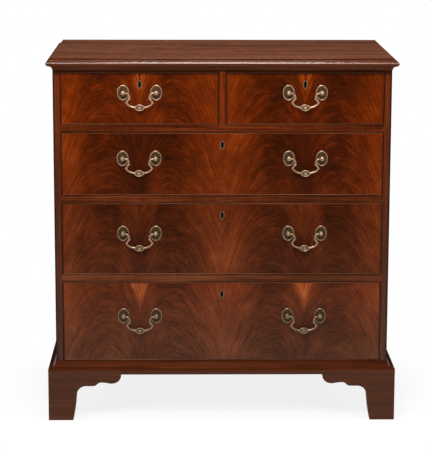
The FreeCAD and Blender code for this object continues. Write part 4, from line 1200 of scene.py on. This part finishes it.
def half_bail():
    """The left half: both bars and the collar, with the post's axis at x = -half the centres."""
    bm = bmesh.new()
    for path in (NECK_PATH, LIMB_PATH):
        tapered_bar(bm, path)
    turn = Matrix.Translation(mm(COLLAR_AT, 0, 0)) @ Matrix.Diagonal((COLLAR_FLAT, 1, 1, 1))
    bmesh.ops.create_uvsphere(bm, u_segments=16, v_segments=8, radius=mm(COLLAR_R), matrix=turn)
    bmesh.ops.translate(bm, verts=bm.verts, vec=(-POST_CENTRES / 2, 0, 0))
    bmesh.ops.remove_doubles(bm, verts=bm.verts, dist=MERGE)
    return bm


def boss():
    bm = bmesh.new()
    lathe(bm, BOSS, BOSS_STEPS)
    wax_hollows(bm, BOSS_HOLLOW, True)
    bmesh.ops.scale(bm, verts=bm.verts, vec=(1, 1, BOSS_HALF_H / BOSS_HALF_W))
    bmesh.ops.translate(bm, verts=bm.verts, vec=mm(0, 0, -BAIL_DROP))
    return bm


def whole_bail():
    """Both halves and the boss, about the hinge line."""
    bm = bmesh.new()
    half = half_bail()
    for one, place in ((half, None), (half, Matrix.Diagonal((-1, 1, 1, 1))), (boss(), None)):
        copy_into(bm, one, place)
    return bm


BAIL = whole_bail()
for node in sorted(nodes):
    if node.endswith("_bail"):
        hinge = next(joint for joint in frame["joints"] if joint["child"] == body_of[node])
        bm = bmesh.new()
        copy_into(bm, BAIL, Matrix.Translation(hinge["pos_m"]))
        new_piece(node + "_casting", bm, body_of[node], "handle_brass", [handle_brass, hollow_brass], node)

# %% [markdown]
# Every drawer locks. The case of the lock is let into the back of the front, its selvedge lies in the
# front's top edge with a slot for the bolt, and outside only the key plate shows: a small oval of
# brass with a bright rim, and a field round the keyhole that is sunk a little and painted nearly
# black, as the keyhole's shade. Flat plates with a hole are drawn as two loops of edges, filled
# between them with triangle_fill, and extruded.

# %% Keyhole, plates and slots
KEY_R, KEY_SLOT, KEY_H, KEY_STEPS = 2.6, 3.4, 15.6, 12
OVAL_POINTS = 36


def keyhole_points():
    """Round top and foot, joined by a straight slot."""
    rise = KEY_H / 2 - KEY_R
    gap = math.asin(KEY_SLOT / 2 / KEY_R)
    points = []
    for middle in (-math.pi / 2, math.pi / 2):
        centre = rise if middle > 0 else -rise
        for k in range(KEY_STEPS + 1):
            turn = middle - math.pi + gap + 2 * (math.pi - gap) * k / KEY_STEPS
            points.append((KEY_R * math.cos(turn), centre + KEY_R * math.sin(turn)))
    return points


def oval(width, height):
    turns = [2 * math.pi * k / OVAL_POINTS for k in range(OVAL_POINTS)]
    return [(width / 2 * math.cos(turn), height / 2 * math.sin(turn)) for turn in turns]


def rectangle(half_w, low, high):
    return [(-half_w, low), (half_w, low), (half_w, high), (-half_w, high)]


def holed_plate(bm, outer, inner, place, thick):
    edges = outline(bm, outer, place) + outline(bm, inner, place)
    found = bmesh.ops.triangle_fill(bm, edges=edges, use_beauty=True)["geom"]
    thicken(bm, made(found, bmesh.types.BMFace), thick)


print("points in a keyhole:", len(keyhole_points()))

# %% [markdown]
# The case of the lock is a box of thin plates: a back, a floor and two sides are let into the front,
# and the selvedge closes it above. Inside it the frame's own bolt slides up through the slot.

# %% Locks and key plates
KEYHOLE_DROP = 34.0
PLATE_W, PLATE_H, PLATE_T, PLATE_PROUD = 12.6, 23.6, 1.4, 0.3
PLATE_RIM, FIELD_SUNK = 1.9, 0.2
LOCK_W, LOCK_H, LOCK_T, LOCK_WALL = 54.0, 45.0, 10.0, 1.6
SELVEDGE_W, SELVEDGE_IN, SELVEDGE_T = 66.0, 8.0, 2.0
SLOT_W, SLOT_T, BOLT_IN = 19.0, 6.0, 14.0


def make_lock(drawer):
    low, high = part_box(drawer + "_front")
    x, top = (low.x + high.x) / 2, high.z
    bm = bmesh.new()

    def key_plate(outer, inner, proud):
        holed_plate(bm, outer, inner,
                    lambda a, b: (x + mm(a), FRONT_Y - mm(proud), top + mm(b - KEYHOLE_DROP)),
                    (0, mm(PLATE_T), 0))

    field = oval(PLATE_W - 2 * PLATE_RIM, PLATE_H - 2 * PLATE_RIM)
    key_plate(field, keyhole_points(), PLATE_PROUD - FIELD_SUNK)
    # the sunk field takes the near-black finish of painted keyhole shade
    for face in bm.faces:
        face.material_index = 1
    key_plate(oval(PLATE_W, PLATE_H), field, PLATE_PROUD)
    holed_plate(bm, rectangle(SELVEDGE_W / 2, SELVEDGE_IN, FRONT_T),
                rectangle(SLOT_W / 2, BOLT_IN - SLOT_T / 2, BOLT_IN + SLOT_T / 2),
                lambda a, b: (x + mm(a), FRONT_Y + mm(b), top), (0, 0, -mm(SELVEDGE_T)))
    back, front = FRONT_Y + mm(FRONT_T), FRONT_Y + mm(FRONT_T - LOCK_T)
    ceiling = top - mm(SELVEDGE_T)
    base = ceiling - mm(LOCK_H)
    half, wall = mm(LOCK_W / 2), mm(LOCK_WALL)
    block(bm, (x - half, back - wall, base), (x + half, back, ceiling))
    block(bm, (x - half, front, base), (x + half, back - wall, base + wall))
    for side in (-1, 1):
        x0, x1 = sorted((x + side * half, x + side * (half - wall)))
        block(bm, (x0, front, base + wall), (x1, back - wall, ceiling))
    new_piece(drawer + "_lock_and_key_plate", bm, body_of[drawer + "_lock"], "lock_brass",
              [lock_brass, keyhole_shade_brass], drawer + "_lock")


for drawer in DRAWERS:
    make_lock(drawer)

# %% [markdown]
# The studio is plain, and its floor runs out of sight. The camera sees it white, with a soft shadow
# that stays close to the feet and fades to nothing. Polished wood is a dark mirror, so what it
# reflects matters as much as what lights it: the floor in front is pale near the feet and darker
# farther out, which is why the lower drawers look greyer than the upper ones.

# %% Floor
FLOOR_HALF = 8.0
FLOOR_DARK_Y, FLOOR_PALE_Y, FLOOR_DARK, FLOOR_PALE = -3.4, -0.5, 0.02, 0.62
FLOOR_SHADOW = 0.22
SHADOW_NEAR, SHADOW_FAR = 0.46, 0.8
SHADOW_LIFT = 0.35          # the white is lifted a little where shaded cloth shows through it
CLOTH = (0.92, 0.92, 0.92, 1.0)
WHITE = (1, 1, 1, 1)


def make_floor():
    f = Finish("studio_floor")
    rays = f.node("LightPath").node.outputs
    seen = rays["Is Camera Ray"]
    mirror = f.math("MAXIMUM", rays["Is Glossy Ray"], rays["Is Transmission Ray"])
    point = f.node("TexCoord", out="Object")
    away = f.node("VectorMath", {0: point}, operation="LENGTH", out="Value")
    shadow = f.span(away, SHADOW_NEAR, SHADOW_FAR, FLOOR_SHADOW, 0.0, smooth=True)
    mirrored = f.span(f.here()["Y"], FLOOR_DARK_Y, FLOOR_PALE_Y, FLOOR_DARK, FLOOR_PALE, smooth=True)
    bright = f.add(f.times(seen, f.add(1.0, f.times(shadow, SHADOW_LIFT))),
                   f.times(mirrored, f.less(1.0, seen)))
    pale = f.node("Emission", {"Color": WHITE, "Strength": bright})
    share = f.add(f.times(seen, f.less(1.0, shadow)), mirror)
    cloth = f.node("BsdfDiffuse", {"Color": CLOTH})
    material = f.finish(f.node("MixShader", {0: f.math("MINIMUM", share, 1.0), 1: cloth, 2: pale}))
    bm = bmesh.new()
    bmesh.ops.create_grid(bm, x_segments=1, y_segments=1, size=FLOOR_HALF)
    mesh = bpy.data.meshes.new("floor")
    bm.to_mesh(mesh)
    bm.free()
    mesh.materials.append(material)
    into_scene("floor", mesh)
    print("floor half size:", FLOOR_HALF, "m")


make_floor()

# %% [markdown]
# The world is the light of the room around the chest. The camera sees it white; to everything else it
# is a plain soft grey, and mirrors see it darker still, so that the polish keeps its depth. Most of
# the light comes from a broad soft lamp in front, high up. A long narrow one straight above draws the
# bright line along the top's bead, and weak ones at the sides open the shadows.

# %% Room and lamps
ROOM_LIGHT, ROOM_IN_MIRRORS = 0.26, 0.02


def make_room():
    world = bpy.data.worlds.new("room")
    bpy.context.scene.world = world
    f = Finish("room", world)
    rays = f.node("LightPath").node.outputs
    strength = ROOM_LIGHT
    for ray, found in (("Is Glossy Ray", ROOM_IN_MIRRORS), ("Is Transmission Ray", ROOM_IN_MIRRORS),
                       ("Is Camera Ray", 1.0)):
        strength = f.node("Mix", {0: rays[ray], 2: strength, 3: found})
    f.finish(f.node("Background", {"Color": WHITE, "Strength": strength}), "OutputWorld")


def lamp(name, at, aim, size, power):
    data = bpy.data.lights.new(name, "AREA")
    data.shape = "RECTANGLE"
    data.size, data.size_y = size
    data.energy = power
    light = into_scene(name, data)
    light.location = at
    light.rotation_euler = (Vector(aim) - Vector(at)).to_track_quat("-Z", "Y").to_euler()
    print(name, "at", at, power, "watts")


make_room()
lamp("top_softbox", (0.05, -0.30, 2.5), (0.05, -0.30, 0.0), (0.75, 0.22), 24)
lamp("front_softbox", (-0.3, -2.8, 3.3), (0, -0.2, 0.5), (2.4, 1.2), 94)
for name, x in (("left_softbox", -2.6), ("right_softbox", 2.6)):
    lamp(name, (x, -1.7, 1.3), (0, 0, 0.5), (0.7, 1.6), 16)

# %% [markdown]
# The Standard view shows a colour as it is written, with no film look over it.

# %% Colour and the end
bpy.context.scene.view_settings.view_transform = "Standard"
